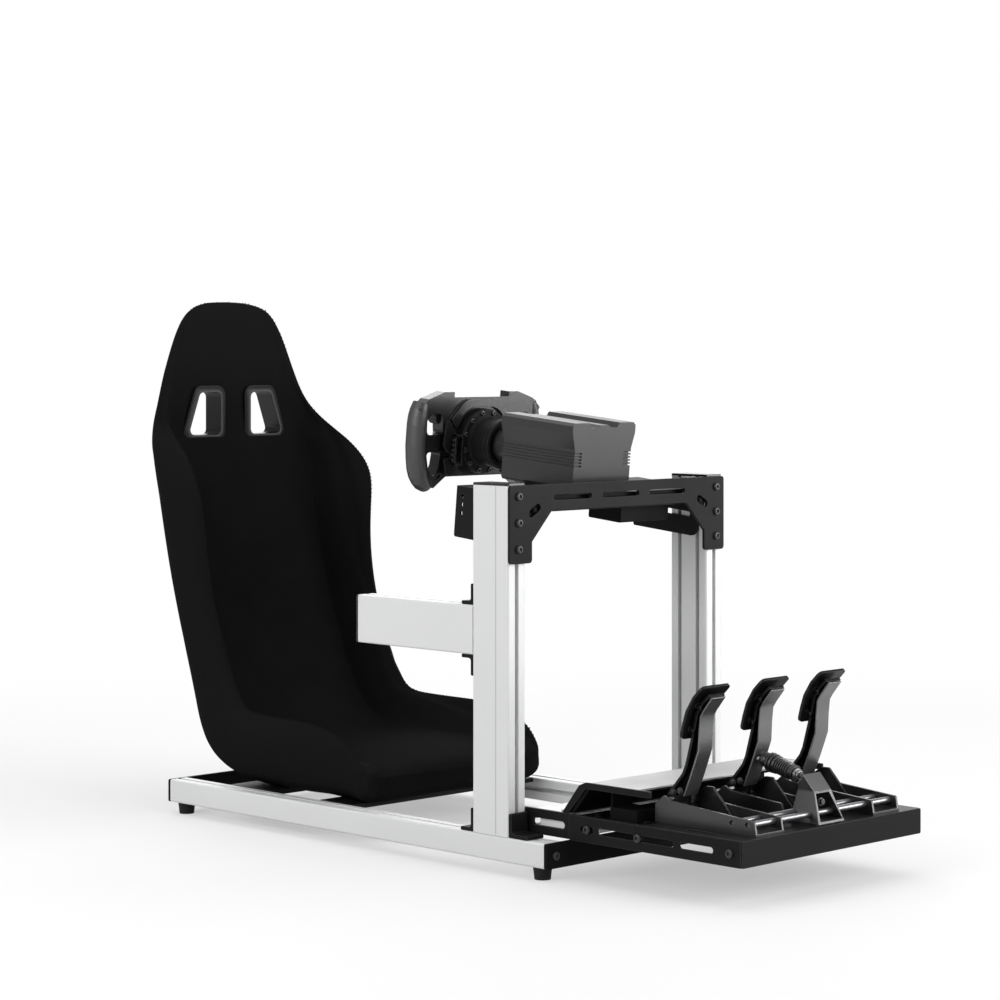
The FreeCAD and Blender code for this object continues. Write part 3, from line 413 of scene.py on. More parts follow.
# every CAD node takes its record slot's finish, apart from the pedals and the tie plates (painted-shade
# black)
nodeSlots = {entry["node"]: entry["material_slot"] for entry in frame["record"]["subparts"]}
for nodeName, node in cadNodes.items():
    look = nodeSlots[nodeName]
    if nodeName.endswith("_tie_plate"):
        look = "painted_shade_black"
    elif nodeName.startswith(("throttle_", "brake_", "clutch_")) and look in ("black_steel", "black_plastic"):
        look = "pedal_satin"
    node.data.materials.clear()
    node.data.materials.append(finishes[look])
print("finishes on", len(cadNodes), "CAD nodes")


weldDistance = 0.00001


def finishPiece(name, build, slotName, body, sharpAngle=38, look=None):
    bmesh.ops.remove_doubles(build, verts=build.verts, dist=weldDistance)
    bmesh.ops.recalc_face_normals(build, faces=build.faces)
    piece = addObject(name, build)
    for face in piece.data.polygons:
        face.use_smooth = True
    piece.data.set_sharp_from_angle(angle=math.radians(sharpAngle))
    piece.data.materials.append(finishes[look or slotName])
    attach(piece, body)
    return piece


def vertsIn(grown):
    return [item for item in grown if isinstance(item, bmesh.types.BMVert)]


def facingPlace(spot, way):
    # a frame at a spot with its z along a way
    return Matrix.Translation(spot) @ Vector(way).to_track_quat("Z", "Y").to_matrix().to_4x4()


# bucket seat: each section has a back point and a crest point, the pad's depth, the half widths at the
# crest and outside, and where the lower corner turns
seatSpec = {
    "sections": [
        (-0.093, 0.070, -0.093, 0.108, 0.030, 0.205, 0.214, 0.950),
        (-0.103, 0.060, -0.107, 0.130, 0.050, 0.213, 0.224, 0.950),
        (-0.124, 0.060, -0.130, 0.154, 0.058, 0.216, 0.228, 0.940),
        (-0.165, 0.060, -0.170, 0.177, 0.063, 0.216, 0.231, 0.930),
        (-0.230, 0.060, -0.235, 0.190, 0.067, 0.216, 0.233, 0.930),
        (-0.300, 0.060, -0.300, 0.190, 0.068, 0.215, 0.234, 0.930),
        (-0.375, 0.060, -0.365, 0.191, 0.068, 0.212, 0.234, 0.930),
        (-0.430, 0.062, -0.408, 0.193, 0.068, 0.206, 0.233, 0.930),
        (-0.480, 0.072, -0.428, 0.199, 0.068, 0.201, 0.232, 0.928),
        (-0.530, 0.098, -0.442, 0.212, 0.066, 0.198, 0.234, 0.923),
        (-0.570, 0.152, -0.456, 0.230, 0.057, 0.197, 0.233, 0.903),
        (-0.596, 0.222, -0.472, 0.250, 0.046, 0.196, 0.232, 0.883),
        (-0.636, 0.347, -0.512, 0.338, 0.038, 0.196, 0.231, 0.883),
        (-0.668, 0.455, -0.538, 0.448, 0.034, 0.196, 0.233, 0.883),
        (-0.694, 0.560, -0.540, 0.545, 0.032, 0.204, 0.237, 0.873),
        (-0.712, 0.632, -0.546, 0.604, 0.028, 0.216, 0.243, 0.863),
        (-0.728, 0.672, -0.590, 0.652, 0.026, 0.209, 0.233, 0.843),
        (-0.733, 0.704, -0.655, 0.692, 0.026, 0.196, 0.205, 0.873),
        (-0.735, 0.736, -0.694, 0.732, 0.026, 0.173, 0.181, 0.883),
        (-0.738, 0.790, -0.702, 0.790, 0.028, 0.147, 0.162, 0.883),
        (-0.742, 0.858, -0.706, 0.860, 0.030, 0.124, 0.136, 0.883),
        (-0.741, 0.904, -0.716, 0.906, 0.020, 0.102, 0.106, 0.860),
        (-0.737, 0.921, -0.723, 0.922, 0.010, 0.077, 0.081, 0.860),
        (-0.732, 0.928, -0.727, 0.929, 0.004, 0.044, 0.047, 0.860),
    ],
    "crestRank": 5, "crestCrease": 0.8, "foldRank": 8, "foldCrease": 0.7, "endCrease": 0.6,
    "hole": [(0.035, 0.673), (0.1165, 0.673), (0.0875, 0.756), (0.035, 0.756)],
    "seam": 0.0001, "holeStart": -0.80, "holeDepth": 0.16,
    "pressure": 4.0, "quality": 4, "frames": 20, "cap": 0.004, "sharp": 50,
    "crown": [(0.0, 0.001), (0.02, -0.0008), (0.045, -0.0048), (0.08, -0.003), (0.11, 0.0)],
    "crownFrom": 0.885, "crownFull": 0.918,
}


def seatHalfRing(section):
    # half a section from the middle of the back, round the bolster's crest, to the middle of the pad
    backX, backZ, crestX, crestZ, pad, crest, outer, corner = section
    rise = Vector((crestX - backX, 0, crestZ - backZ))
    depth = rise.length
    rise.normalize()
    wall = outer - crest
    flank = depth - pad
    half = [
        (0, 0), (outer * (corner - 0.22), 0), (outer * corner, depth * (1 - corner) * 0.9),
        (outer, depth * 0.42), (outer - wall * 0.3, depth * 0.85), (crest, depth),
        (crest - wall * 0.5, depth - flank * 0.3), (crest - wall, pad + flank * 0.3),
        (crest * 0.79, pad), (crest * 0.4, pad * 1.02), (0, pad * 1.02),
    ]
    return [Vector((backX, side, backZ)) + rise * up for side, up in half]


def seatShell():
    build = bmesh.new()
    rank = build.verts.layers.int.new("rank")
    pins = build.verts.layers.deform.verify()
    crease = build.edges.layers.float.new("crease_edge")
    chain = []
    for number, point in enumerate(seatHalfRing(seatSpec["sections"][0])):
        vert = build.verts.new(point)
        vert[rank] = number
        vert[pins][0] = 1.0 if number == seatSpec["crestRank"] else 0.0
        chain.append(vert)
    edges = [build.edges.new(pair) for pair in zip(chain, chain[1:])]
    for section in seatSpec["sections"][1:]:
        ring = seatHalfRing(section)
        grown = bmesh.ops.extrude_edge_only(build, edges=edges)["geom"]
        edges = [item for item in grown if isinstance(item, bmesh.types.BMEdge)]
        for vert in vertsIn(grown):
            vert.co = ring[vert[rank]]
    half = build.verts[:] + build.edges[:] + build.faces[:]
    bmesh.ops.mirror(build, geom=half, axis="Y", merge_dist=seatSpec["seam"])
    bmesh.ops.remove_doubles(build, verts=build.verts, dist=seatSpec["seam"])
    rims = [edge for edge in build.edges if edge.is_boundary]
    bmesh.ops.holes_fill(build, edges=rims, sides=0)
    for edge in rims:
        edge[crease] = seatSpec["endCrease"]
    for edge in build.edges:
        if all(vert[rank] == seatSpec["crestRank"] for vert in edge.verts):
            edge[crease] = seatSpec["crestCrease"]
        elif all(vert[rank] == seatSpec["foldRank"] for vert in edge.verts):
            edge[crease] = seatSpec["foldCrease"]
    bmesh.ops.recalc_face_normals(build, faces=build.faces)
    return build


def beltCutter(side):
    build = bmesh.new()
    start = seatSpec["holeStart"]
    corners = [build.verts.new((start, side * across, level)) for across, level in seatSpec["hole"]]
    face = build.faces.new(corners)
    grown = bmesh.ops.extrude_face_region(build, geom=[face])["geom"]
    bmesh.ops.translate(build, vec=(seatSpec["holeDepth"], 0, 0), verts=vertsIn(grown))
    bmesh.ops.recalc_face_normals(build, faces=build.faces)
    return addObject("beltCutter", build)


def settle(piece):
    view = bpy.context.evaluated_depsgraph_get()
    shaped = bpy.data.meshes.new_from_object(piece.evaluated_get(view))
    piece.modifiers.clear()
    piece.data = shaped


def roundSeat(seat, levels):
    rounding = seat.modifiers.new("rounding", "SUBSURF")
    rounding.levels = rounding.render_levels = levels
    settle(seat)


def swellSeat(seat):
    start = [vert.co.copy() for vert in seat.data.vertices]
    cloth = seat.modifiers.new("swell", "CLOTH")
    rules = cloth.settings
    rules.use_pressure = True
    rules.uniform_pressure_force = seatSpec["pressure"]
    rules.quality = seatSpec["quality"]
    rules.effector_weights.gravity = 0
    rules.vertex_group_mass = "crest"
    cloth.collision_settings.use_collision = False
    cloth.collision_settings.use_self_collision = False
    cloth.point_cache.frame_start = 1
    cloth.point_cache.frame_end = seatSpec["frames"]
    for number in range(1, seatSpec["frames"] + 1):
        scene.frame_set(number)
    settle(seat)
    for vert, old in zip(seat.data.vertices, start):
        move = vert.co - old
        if move.length > seatSpec["cap"]:
            vert.co = old + move.normalized() * seatSpec["cap"]
    scene.frame_set(1)


def crownHead(seat):
    # the head's top corners come down to one even curve
    low, high = seatSpec["crownFrom"], seatSpec["crownFull"]
    for vert in seat.data.vertices:
        share = min(max((vert.co.z - low) / (high - low), 0.0), 1.0)
        for (near, first), (far, last) in zip(seatSpec["crown"], seatSpec["crown"][1:]):
            if near <= abs(vert.co.y) < far:
                part = (abs(vert.co.y) - near) / (far - near)
                vert.co.z += share * (first + (last - first) * part)
                break


def makeSeat():
    seat = addObject("bucketSeat", seatShell())
    seat.vertex_groups.new(name="crest")
    roundSeat(seat, 2)
    swellSeat(seat)
    crownHead(seat)
    roundSeat(seat, 1)
    cutters = [beltCutter(side) for side in (-1, 1)]
    for number, cutter in enumerate(cutters):
        hole = seat.modifiers.new("beltHole%d" % number, "BOOLEAN")
        hole.operation = "DIFFERENCE"
        hole.object = cutter
        hole.solver = "EXACT"
    settle(seat)
    for cutter in cutters:
        bpy.data.objects.remove(cutter)
    for face in seat.data.polygons:
        face.use_smooth = True
    seat.data.set_sharp_from_angle(angle=math.radians(seatSpec["sharp"]))
    seat.data.materials.clear()
    seat.data.materials.append(finishes["seat_fabric"])
    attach(seat, "frame")
    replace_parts(seat, "bucket_seat")
    return seat


bucketSeat = makeSeat()
print("seat made:", len(bucketSeat.data.polygons), "faces")

# blanket stitch over the crest of both bolsters and round the head
stitchSpec = {"pitch": 0.008, "half": (0.0014, 0.0028, 0.0013), "sink": 0.0007}


def makeStitches():
    seat = bucketSeat.data
    surface = BVHTree.FromObject(bucketSeat, bpy.context.evaluated_depsgraph_get())
    crest = [Vector((entry[2], entry[5], entry[3])) for entry in seatSpec["sections"]]
    line = crest + [Vector((point.x, -point.y, point.z)) for point in reversed(crest)]
    stretch = Matrix.Diagonal(stitchSpec["half"]).to_4x4()
    build = bmesh.new()
    spare = 0.0
    for start, end in zip(line, line[1:]):
        run = (end - start).length
        along = (end - start).normalized()
        while spare < run:
            spot, _, face, _ = surface.find_nearest(start + along * spare)
            # the nearest corner's own normal leans between both sides of the crest
            corners = [seat.vertices[number] for number in seat.polygons[face].vertices]
            up = min(corners, key=lambda corner: (corner.co - spot).length).normal
            across = up.cross(along).normalized()
            turn = Matrix((along, across, up)).transposed().to_4x4()
            place = Matrix.Translation(spot - up * stitchSpec["sink"]) @ turn @ stretch
            bmesh.ops.create_uvsphere(build, u_segments=6, v_segments=5, radius=1.0, matrix=place)
            spare += stitchSpec["pitch"]
        spare -= run
    return finishPiece("crestStitches", build, "seat_fabric", "frame", 180)


makeStitches()
print("crest stitched")

# button head screws with a hexagon socket: radius, height and shares of them, then where each sits and faces
screwSpec = {
    "plain": (0.0070, 0.0042), "small": (0.0050, 0.0030),
    "rounding": 0.5, "flat": 0.16, "socket": 0.5, "socketDeep": 0.6, "socketWall": 0.0002,
    "frontPlate": [
        ((0.2955, side * 0.240, level), (1, 0, 0)) for side in (-1, 1) for level in (0.516, 0.558, 0.600)
    ],
    "tiePlates": [
        ((x, side * 0.240, 0.040), (ahead, 0, 0))
        for x, ahead in ((0.376, 1), (-0.573, -1)) for side in (-1, 1)
    ],
    "traySides": [
        ((along, side * 0.220, 0.084), (0, side, 0)) for side in (-1, 1) for along in (0.425, 0.532, 0.716)
    ],
}


def topFace(build):
    return max(build.faces, key=lambda face: face.calc_center_median().z)


def screwMesh(radius, height):
    spec = screwSpec
    build = bmesh.new()
    bmesh.ops.create_cone(
        build, cap_ends=True, cap_tris=False, segments=18, radius1=radius, radius2=radius, depth=height,
        matrix=Matrix.Translation((0, 0, height / 2)),
    )
    bmesh.ops.bevel(
        build, geom=list(topFace(build).edges), offset=height * spec["rounding"], segments=3, profile=0.5,
        affect="EDGES", material=-1,
    )
    top = topFace(build)
    bmesh.ops.inset_region(build, faces=[top], thickness=radius * spec["flat"])
    for vert in top.verts:
        bearing = math.degrees(math.atan2(vert.co.y, vert.co.x)) % 60 - 30
        reach = radius * spec["socket"] * math.cos(math.radians(30)) / math.cos(math.radians(bearing))
        vert.co.xy = vert.co.xy.normalized() * reach
    bmesh.ops.inset_individual(
        build, faces=[top], thickness=spec["socketWall"], depth=-height * spec["socketDeep"]
    )
    mesh = bpy.data.meshes.new("screw")
    build.to_mesh(mesh)
    build.free()
    return mesh


def addScrews(build, template, spots):
    for spot, facing in spots:
        have = len(build.verts)
        build.from_mesh(template)
        build.verts.ensure_lookup_table()
        bmesh.ops.transform(build, matrix=facingPlace(spot, facing), verts=build.verts[have:])


plainScrew = screwMesh(*screwSpec["plain"])
smallScrew = screwMesh(*screwSpec["small"])
frameScrews = bmesh.new()
for group in ("frontPlate", "tiePlates", "traySides"):
    addScrews(frameScrews, plainScrew, screwSpec[group])
finishPiece("frameScrews", frameScrews, "black_steel", "frame", look="base_grey")
print("frame screws set")


# plain shapes that several pieces share
def slab(build, outline, low, high):
    # a flat side outline (x, z) given its width along y
    start = build.faces.new([build.verts.new((x, low, z)) for x, z in outline])
    grown = bmesh.ops.extrude_face_region(build, geom=[start])["geom"]
    bmesh.ops.translate(build, vec=(0, high - low, 0), verts=vertsIn(grown))


def box(build, low, high):
    outline = [(low[0], low[2]), (high[0], low[2]), (high[0], high[2]), (low[0], high[2])]
    slab(build, outline, low[1], high[1])


def onSide(side, first, last):
    # a stretch of y on one side, low end first
    return sorted((side * first, side * last))


def turned(build, profile, base, facing, steps=28):
    # a profile of (distance, radius) spun about an axis
    place = facingPlace(base, facing)
    chain = [build.verts.new(place @ Vector((radius, 0, along))) for along, radius in profile]
    edges = [build.edges.new(pair) for pair in zip(chain, chain[1:])]
    bmesh.ops.spin(
        build, geom=chain + edges, cent=base, axis=Vector(facing).normalized(), angle=math.tau, steps=steps,
        use_merge=True,
    )


def drum(build, start, way, radius, edge, steps):
    # a round bar along a way, both its end edges cut back
    length = way.length
    profile = [(0, 0), (0, radius - edge), (edge, radius), (length - edge, radius), (length, radius - edge)]
    turned(build, profile + [(length, 0)], start, way, steps)


rodEdge = {"most": 0.0006, "share": 0.2}


def rod(build, start, end, radius, steps=20):
    edge = min(rodEdge["most"], radius * rodEdge["share"])
    drum(build, start, Vector(end) - Vector(start), radius, edge, steps)


hexSpec = {"washer": 1.3, "washerHigh": 0.22, "flank": 0.7, "top": 0.78, "topReach": 0.86}


def hexBolt(build, base, facing, radius, height):
    # a hexagon head on a round washer, as shares of its radius and height
    washer = radius * hexSpec["washer"]
    lift = height * hexSpec["washerHigh"]
    turned(build, [(0, 0), (0, washer), (lift, washer), (lift, 0)], base, facing, 20)
    top = height * hexSpec["top"]
    profile = [(0, 0), (0, radius), (height * hexSpec["flank"], radius), (top, radius * hexSpec["topReach"])]
    turned(build, profile + [(top, 0)], Vector(base) + Vector(facing).normalized() * lift, facing, 6)


def inward(line, depth):
    # a line moved to its left by depth
    moved = []
    for rank, point in enumerate(line):
        before = Vector(line[max(rank - 1, 0)])
        after = Vector(line[min(rank + 1, len(line) - 1)])
        way = (after - before).normalized()
        moved.append((point[0] - way.y * depth, point[1] + way.x * depth))
    return moved


def bentSheet(build, line, thick, low, high):
    # a line given a thickness to its left and its width along y
    slab(build, line + inward(line, thick)[::-1], low, high)


def closeRows(build, rows):
    # faces from each closed row to the next, and from the last back to the first
    for row, after in zip(rows, rows[1:] + rows[:1]):
        for step, vert in enumerate(row):
            ahead = (step + 1) % len(row)
            build.faces.new((vert, row[ahead], after[ahead], after[step]))


# pedals: side outlines about the pivot, the arm as two flanges on a thin web, the pad as a bent sheet
pedalSpec = {
    "pivot": (0.560, 0.124), "places": {"throttle": -0.143, "brake": 0.0, "clutch": 0.143},
    "half": 0.018, "frontHalf": 0.0155, "frontThick": 0.0025, "rearHalf": 0.018, "rearThick": 0.0045,
    "webHalf": 0.004, "webBack": 0.0015, "barrel": 0.0105,
    "front": [(0.010, -0.010), (0.012, 0.022), (0.019, 0.037), (0.027, 0.056), (0.036, 0.079), (0.042, 0.095),
              (0.0435, 0.124), (0.046, 0.147), (0.052, 0.156), (0.069, 0.177)],
    "rear": [(0.063, 0.183), (0.048, 0.170), (0.037, 0.152), (0.0275, 0.112), (0.016, 0.071), (0.010, 0.058),
             (-0.020, 0.023), (-0.012, -0.010)],
    "pad": [(0.018, 0.113), (0.024, 0.136), (0.031, 0.157), (0.045, 0.179), (0.063, 0.197)],
    "padHalf": 0.034, "padThick": 0.004, "padCorner": 0.008,
    "spacers": [(0.0215, 0.127), (0.036, 0.165)], "spacerSide": 0.016, "spacerRadius": 0.0055,
    "spacerSink": 0.002, "spacerReach": (0.012, 0, -0.003),
    "screwProud": 0.0005, "screwFacing": (-0.95, 0, 0.3),
    "bolts": [(0.0, 0.0, 0.0075, 0.005), (-0.008, 0.026, 0.0045, 0.0035), (0.006, 0.030, 0.0045, 0.0035)],
    "pinRadius": 0.0055,
}


def atPivot(line):
    return [(x + pedalSpec["pivot"][0], z + pedalSpec["pivot"][1]) for x, z in line]


def pedalArm(body, middle):
    # a flange down the front, a slightly wider one down the back and a thin web between them
    spec = pedalSpec
    front = bmesh.new()
    wide = spec["frontHalf"]
    bentSheet(front, atPivot(spec["front"][1:]), spec["frontThick"], middle - wide, middle + wide)
    # the front flange takes the bright web satin as painted light
    finishPiece(body + "ArmFront", front, "black_steel", body, look="lit_web_and_seam_satin")
    build = bmesh.new()
    wide = spec["rearHalf"]
    bentSheet(build, atPivot(spec["rear"][:-1]), spec["rearThick"], middle - wide, middle + wide)
    web = inward(spec["front"], spec["webBack"]) + spec["rear"]
    slab(build, atPivot(web), middle - spec["webHalf"], middle + spec["webHalf"])
    low, high = middle - spec["half"], middle + spec["half"]
    x, z = spec["pivot"]
    rod(build, (x, low, z), (x, high, z), spec["barrel"], 28)
    # the upper bolts sit on cross pins
    for pinX, pinZ in ((bolt[0] + x, bolt[1] + z) for bolt in spec["bolts"][1:]):
        rod(build, (pinX, low, pinZ), (pinX, high, pinZ), spec["pinRadius"], 16)
    # the web, back flange, barrel and pins take the darker arm black as painted shade
    return finishPiece(body + "ArmBody", build, "black_steel", body, look="arm_painted_shade")


def pedalBolts(body, middle):
    spec = pedalSpec
    build = bmesh.new()
    for side in (-1, 1):
        for x, z, radius, height in spec["bolts"]:
            spot = (x + spec["pivot"][0], middle + side * spec["half"], z + spec["pivot"][1])
            hexBolt(build, spot, (0, side, 0), radius, height)
    return finishPiece(body + "ArmBolts", build, "black_steel", body, look="base_grey")


def pedalPad(body, middle):
    spec = pedalSpec
    build = bmesh.new()
    wide = spec["padHalf"]
    bentSheet(build, atPivot(spec["pad"]), -spec["padThick"], middle - wide, middle + wide)
    # only the four corner edges run through the sheet's thickness
    corners = [edge for edge in build.edges if edge.calc_length() < 2 * spec["padThick"]]
    bmesh.ops.bevel(
        build, geom=corners, offset=spec["padCorner"], segments=5, profile=0.5, affect="EDGES", material=-1
    )
    screws = bmesh.new()
    for x, z in atPivot(spec["spacers"]):
        for y in (middle - spec["spacerSide"], middle + spec["spacerSide"]):
            start = Vector((x + spec["spacerSink"], y, z))
            rod(build, start, start + Vector(spec["spacerReach"]), spec["spacerRadius"], 16)
            addScrews(screws, smallScrew, [((x - spec["screwProud"], y, z), spec["screwFacing"])])
    # the pad sheet takes the darker arm black as painted shade
    pad = finishPiece(body + "PadSheet", build, "black_steel", body, look="arm_painted_shade")
    finishPiece(body + "PadScrews", screws, "bright_steel", body)
    return pad


for pedalBody, pedalMiddle in pedalSpec["places"].items():
    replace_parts(pedalArm(pedalBody, pedalMiddle), pedalBody + "_arm")
    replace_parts(pedalPad(pedalBody, pedalMiddle), pedalBody + "_pad")
    pedalBolts(pedalBody, pedalMiddle)
print("pedal arms and pads made")

# brake portal: a bent loop of sheet, open to the front, under a sloping roof; the loop's low and high
# corners have a height, a half width, and rear and front x
portalSpec = {
    "low": (0.1055, 0.0315, 0.676, 0.734), "high": (0.154, 0.0205, 0.684, 0.716),
    "sheet": 0.004, "sideShare": 1.1,
    "roof": [(0.717, 0.153), (0.695, 0.178), (0.683, 0.164)],
    "gusset": [(0.714, 0.153), (0.695, 0.1745), (0.686, 0.164), (0.684, 0.153)],
    "bolt": (0.712, 0.0, 0.136), "boltSize": (0.005, 0.006),
}


def portalRow(build, shrink, end):
    # the loop's four corners at its rear (2) or front (3) end
    row = []
    for key, side in (("low", -1), ("low", 1), ("high", 1), ("high", -1)):
        corner = portalSpec[key]
        height = corner[0] + shrink if key == "low" else corner[0] - shrink
        across = corner[1] - shrink * portalSpec["sideShare"]
        row.append(build.verts.new((corner[end], side * across, height)))
    return row


def portalPiece():
    spec = portalSpec
    build = bmesh.new()
    sheet = spec["sheet"]
    ends = ((0, 2), (0, 3), (sheet, 3), (sheet, 2))
    closeRows(build, [portalRow(build, shrink, end) for shrink, end in ends])
    half = spec["high"][1]
    roof = bmesh.new()
    bentSheet(roof, spec["roof"], sheet, -half, half)
    # the roof takes the bright web satin as painted light; the loop below keeps the plain pedal satin
    finishPiece("brakePortalRoof", roof, "black_steel", "frame", look="lit_web_and_seam_satin")
    for side in (-1, 1):
        slab(build, spec["gusset"], *onSide(side, half, half - sheet))
    hexBolt(build, spec["bolt"], (1, 0, 0), *spec["boltSize"])
    return finishPiece("brakePortalSheet", build, "black_steel", "frame", look="pedal_satin")


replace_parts(portalPiece(), "brake_portal")
print("brake portal made")

# brake damper: a clevis, clamp discs, a ribbed spring body, bright collars and a rod, as distance and radius
damperSpec = {
    "start": (0.591, 0.0, 0.1935), "lean": 15,
    "stack": [(0.0034, 0), (0.0034, 0.0042), (0.0048, 0.0062), (0.009, 0.0062), (0.009, 0.011),
              (0.012, 0.0118), (0.019, 0.0118), (0.0195, 0.0095), (0.022, 0.0095),
              (0.0222, 0.0150), (0.0262, 0.0155),
              (0.0266, 0.0110), (0.0285, 0.0110), (0.0288, 0.0155), (0.0326, 0.0155), (0.033, 0.0110),
              (0.035, 0.0110), (0.0353, 0.0150), (0.039, 0.0145)],
    "ribStart": 0.040, "ribs": 6, "ribPitch": 0.0042, "ribLow": 0.0108, "ribHigh": 0.0135,
    "ribShares": (0.25, 0.6, 0.9),
    "tail": [(0.066, 0.0095), (0.066, 0.0125), (0.0745, 0.0125), (0.075, 0.0045), (0.112, 0.0045),
             (0.112, 0)],
    "collars": [(0.0748, 0.0098, 0.005), (0.0800, 0.0080, 0.004)], "collarEdge": 0.001,
    "pin": 0.0065, "pinRadius": 0.0028, "pinReach": (0, 0.013, 0),
}


def damperStack():
    spec = damperSpec
    lean = math.radians(spec["lean"])
    way = Vector((math.cos(lean), 0, -math.sin(lean)))
    base = Vector(spec["start"])
    profile = list(spec["stack"])
    low, high, pitch = spec["ribLow"], spec["ribHigh"], spec["ribPitch"]
    rise, fall, foot = spec["ribShares"]
    for rank in range(spec["ribs"]):
        start = spec["ribStart"] + rank * pitch
        profile += [(start, low), (start + pitch * rise, high)]
        profile += [(start + pitch * fall, high), (start + pitch * foot, low)]
    build = bmesh.new()
    turned(build, profile + spec["tail"], base, way, 32)
    stack = finishPiece("damperStack", build, "damper_rubber", "brake_damper", look="pedal_satin")
    collars = bmesh.new()
    for along, radius, length in spec["collars"]:
        drum(collars, base + way * along, way * length, radius, spec["collarEdge"], 24)
    middle = base + way * spec["pin"]
    reach = Vector(spec["pinReach"])
    rod(collars, middle - reach, middle + reach, spec["pinRadius"], 16)
    finishPiece("damperCollars", collars, "bright_steel", "brake_damper")
    return stack


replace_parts(damperStack(), "brake_damper")
print("brake damper made")

# black pan and liner under the heel plate, with its edge trim, block, rib and bolts, in painted-shade black
heelSpec = {
    "liner": [(0.3825, 0.1045), (0.4225, 0.1515), (0.521, 0.1515), (0.521, 0.1495),
              (0.4235, 0.1495), (0.386, 0.1045)],
    "trim": [(0.378, 0.1045), (0.386, 0.1045), (0.4265, 0.1520), (0.4190, 0.1535)], "trimY": (0.2081, 0.2088),
    "linerHalf": 0.2075, "pan": ((0.388, -0.2115, 0.0985), (0.5375, 0.2115, 0.1005)),
    "blocks": [((0.456, 0.150, 0.1005), (0.512, 0.200, 0.121)),
               ((0.4435, 0.140, 0.1005), (0.4475, 0.185, 0.1495))],
    "bolts": [(0.418, 0.185, 0.1005), (0.524, 0.190, 0.1005)], "boltSize": (0.0065, 0.005),
}
heelBuild = bmesh.new()
slab(heelBuild, heelSpec["liner"], -heelSpec["linerHalf"], heelSpec["linerHalf"])
box(heelBuild, *heelSpec["pan"])
for side in (-1, 1):
    for (x0, y0, z0), (x1, y1, z1) in heelSpec["blocks"]:
        low, high = onSide(side, y0, y1)
        box(heelBuild, (x0, low, z0), (x1, high, z1))
    for x, y, z in heelSpec["bolts"]:
        hexBolt(heelBuild, (x, side * y, z), (0, 0, 1), *heelSpec["boltSize"])
    slab(heelBuild, heelSpec["trim"], *onSide(side, *heelSpec["trimY"]))
finishPiece("heelUnderside", heelBuild, "black_steel", "frame", look="painted_shade_black")
print("heel underside made")

# seat cross plates: the front one kept behind the cushion's front edge
seatPlateSpec = {"plates": [(-0.205, -0.122), (-0.445, -0.335)], "half": 0.2198, "low": 0.052, "high": 0.060}
plateBuild = bmesh.new()
plateHalf = seatPlateSpec["half"]
for rear, front in seatPlateSpec["plates"]:
    box(plateBuild, (rear, -plateHalf, seatPlateSpec["low"]), (front, plateHalf, seatPlateSpec["high"]))
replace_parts(finishPiece("seatCrossSheets", plateBuild, "black_steel", "frame"), "seat_cross_plates")
print("seat plates made")

# wheelbase: the CAD housing's own shape, a little wider and reaching further back along the shaft,
# in the leaning frame that the wheel shares
wheelbaseSpec = {"place": (0.097, 0, 0.672), "lean": 5.5, "front": 0.163, "longer": 1.05, "wider": 1.085}
wheelLean = Matrix.Rotation(math.radians(wheelbaseSpec["lean"]), 4, "Y")
wheelPlace = Matrix.Translation(wheelbaseSpec["place"]) @ wheelLean


def widerHousing():
    build = bmesh.new()
    build.from_mesh(cadNodes["wheelbase_housing"].data)
    front = wheelbaseSpec["front"]
    stretch = Matrix.Diagonal((wheelbaseSpec["longer"], wheelbaseSpec["wider"], 1, 1))
    along = Matrix.Translation((front, 0, 0)) @ stretch @ Matrix.Translation((-front, 0, 0))
    bmesh.ops.transform(build, matrix=wheelPlace @ along @ wheelPlace.inverted(), verts=build.verts)
    return finishPiece("wheelbaseShell", build, "base_grey", "frame", 4)


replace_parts(widerHousing(), "wheelbase_housing")
print("wheelbase made")

# wheel details in the wheel's own frame: hub screws, knobs on stems and the paddles' toothed spring frames
wheelSpec = {
    "screws": 12, "screwX": -0.1182, "screwMiddle": -0.008, "screwReach": 0.051,
    "knob": (-0.145, 0.088, 0.031), "knobRadius": 0.0105, "knobLength": 0.020, "ribs": 24, "ribShare": 0.93,
    "stemBack": 0.004, "stemRoot": 0.066, "stemRadius": 0.005,
    "frameX": (-0.1212, -0.1145), "frameY": (0.057, 0.076), "frameZ": (-0.047, 0.005), "frameBar": 0.0035,
    "teeth": 5, "toothX": (-0.1192, -0.115), "toothStart": -0.040, "toothPitch": 0.0085, "toothDeep": 0.0045,
    "toothShare": 0.45,
}


def knurled(build, place, radius, length):
    # a short knob along x with a ribbed rim
    ring = []
    count = wheelSpec["ribs"] * 2
    for rank in range(count):
        turn = math.tau * rank / count
        reach = radius if rank % 2 else radius * wheelSpec["ribShare"]
        spot = Vector(place) + Vector((0, reach * math.cos(turn), reach * math.sin(turn)))
        ring.append(build.verts.new(spot))
    grown = bmesh.ops.extrude_face_region(build, geom=[build.faces.new(ring)])["geom"]
    bmesh.ops.translate(build, vec=(-length, 0, 0), verts=vertsIn(grown))


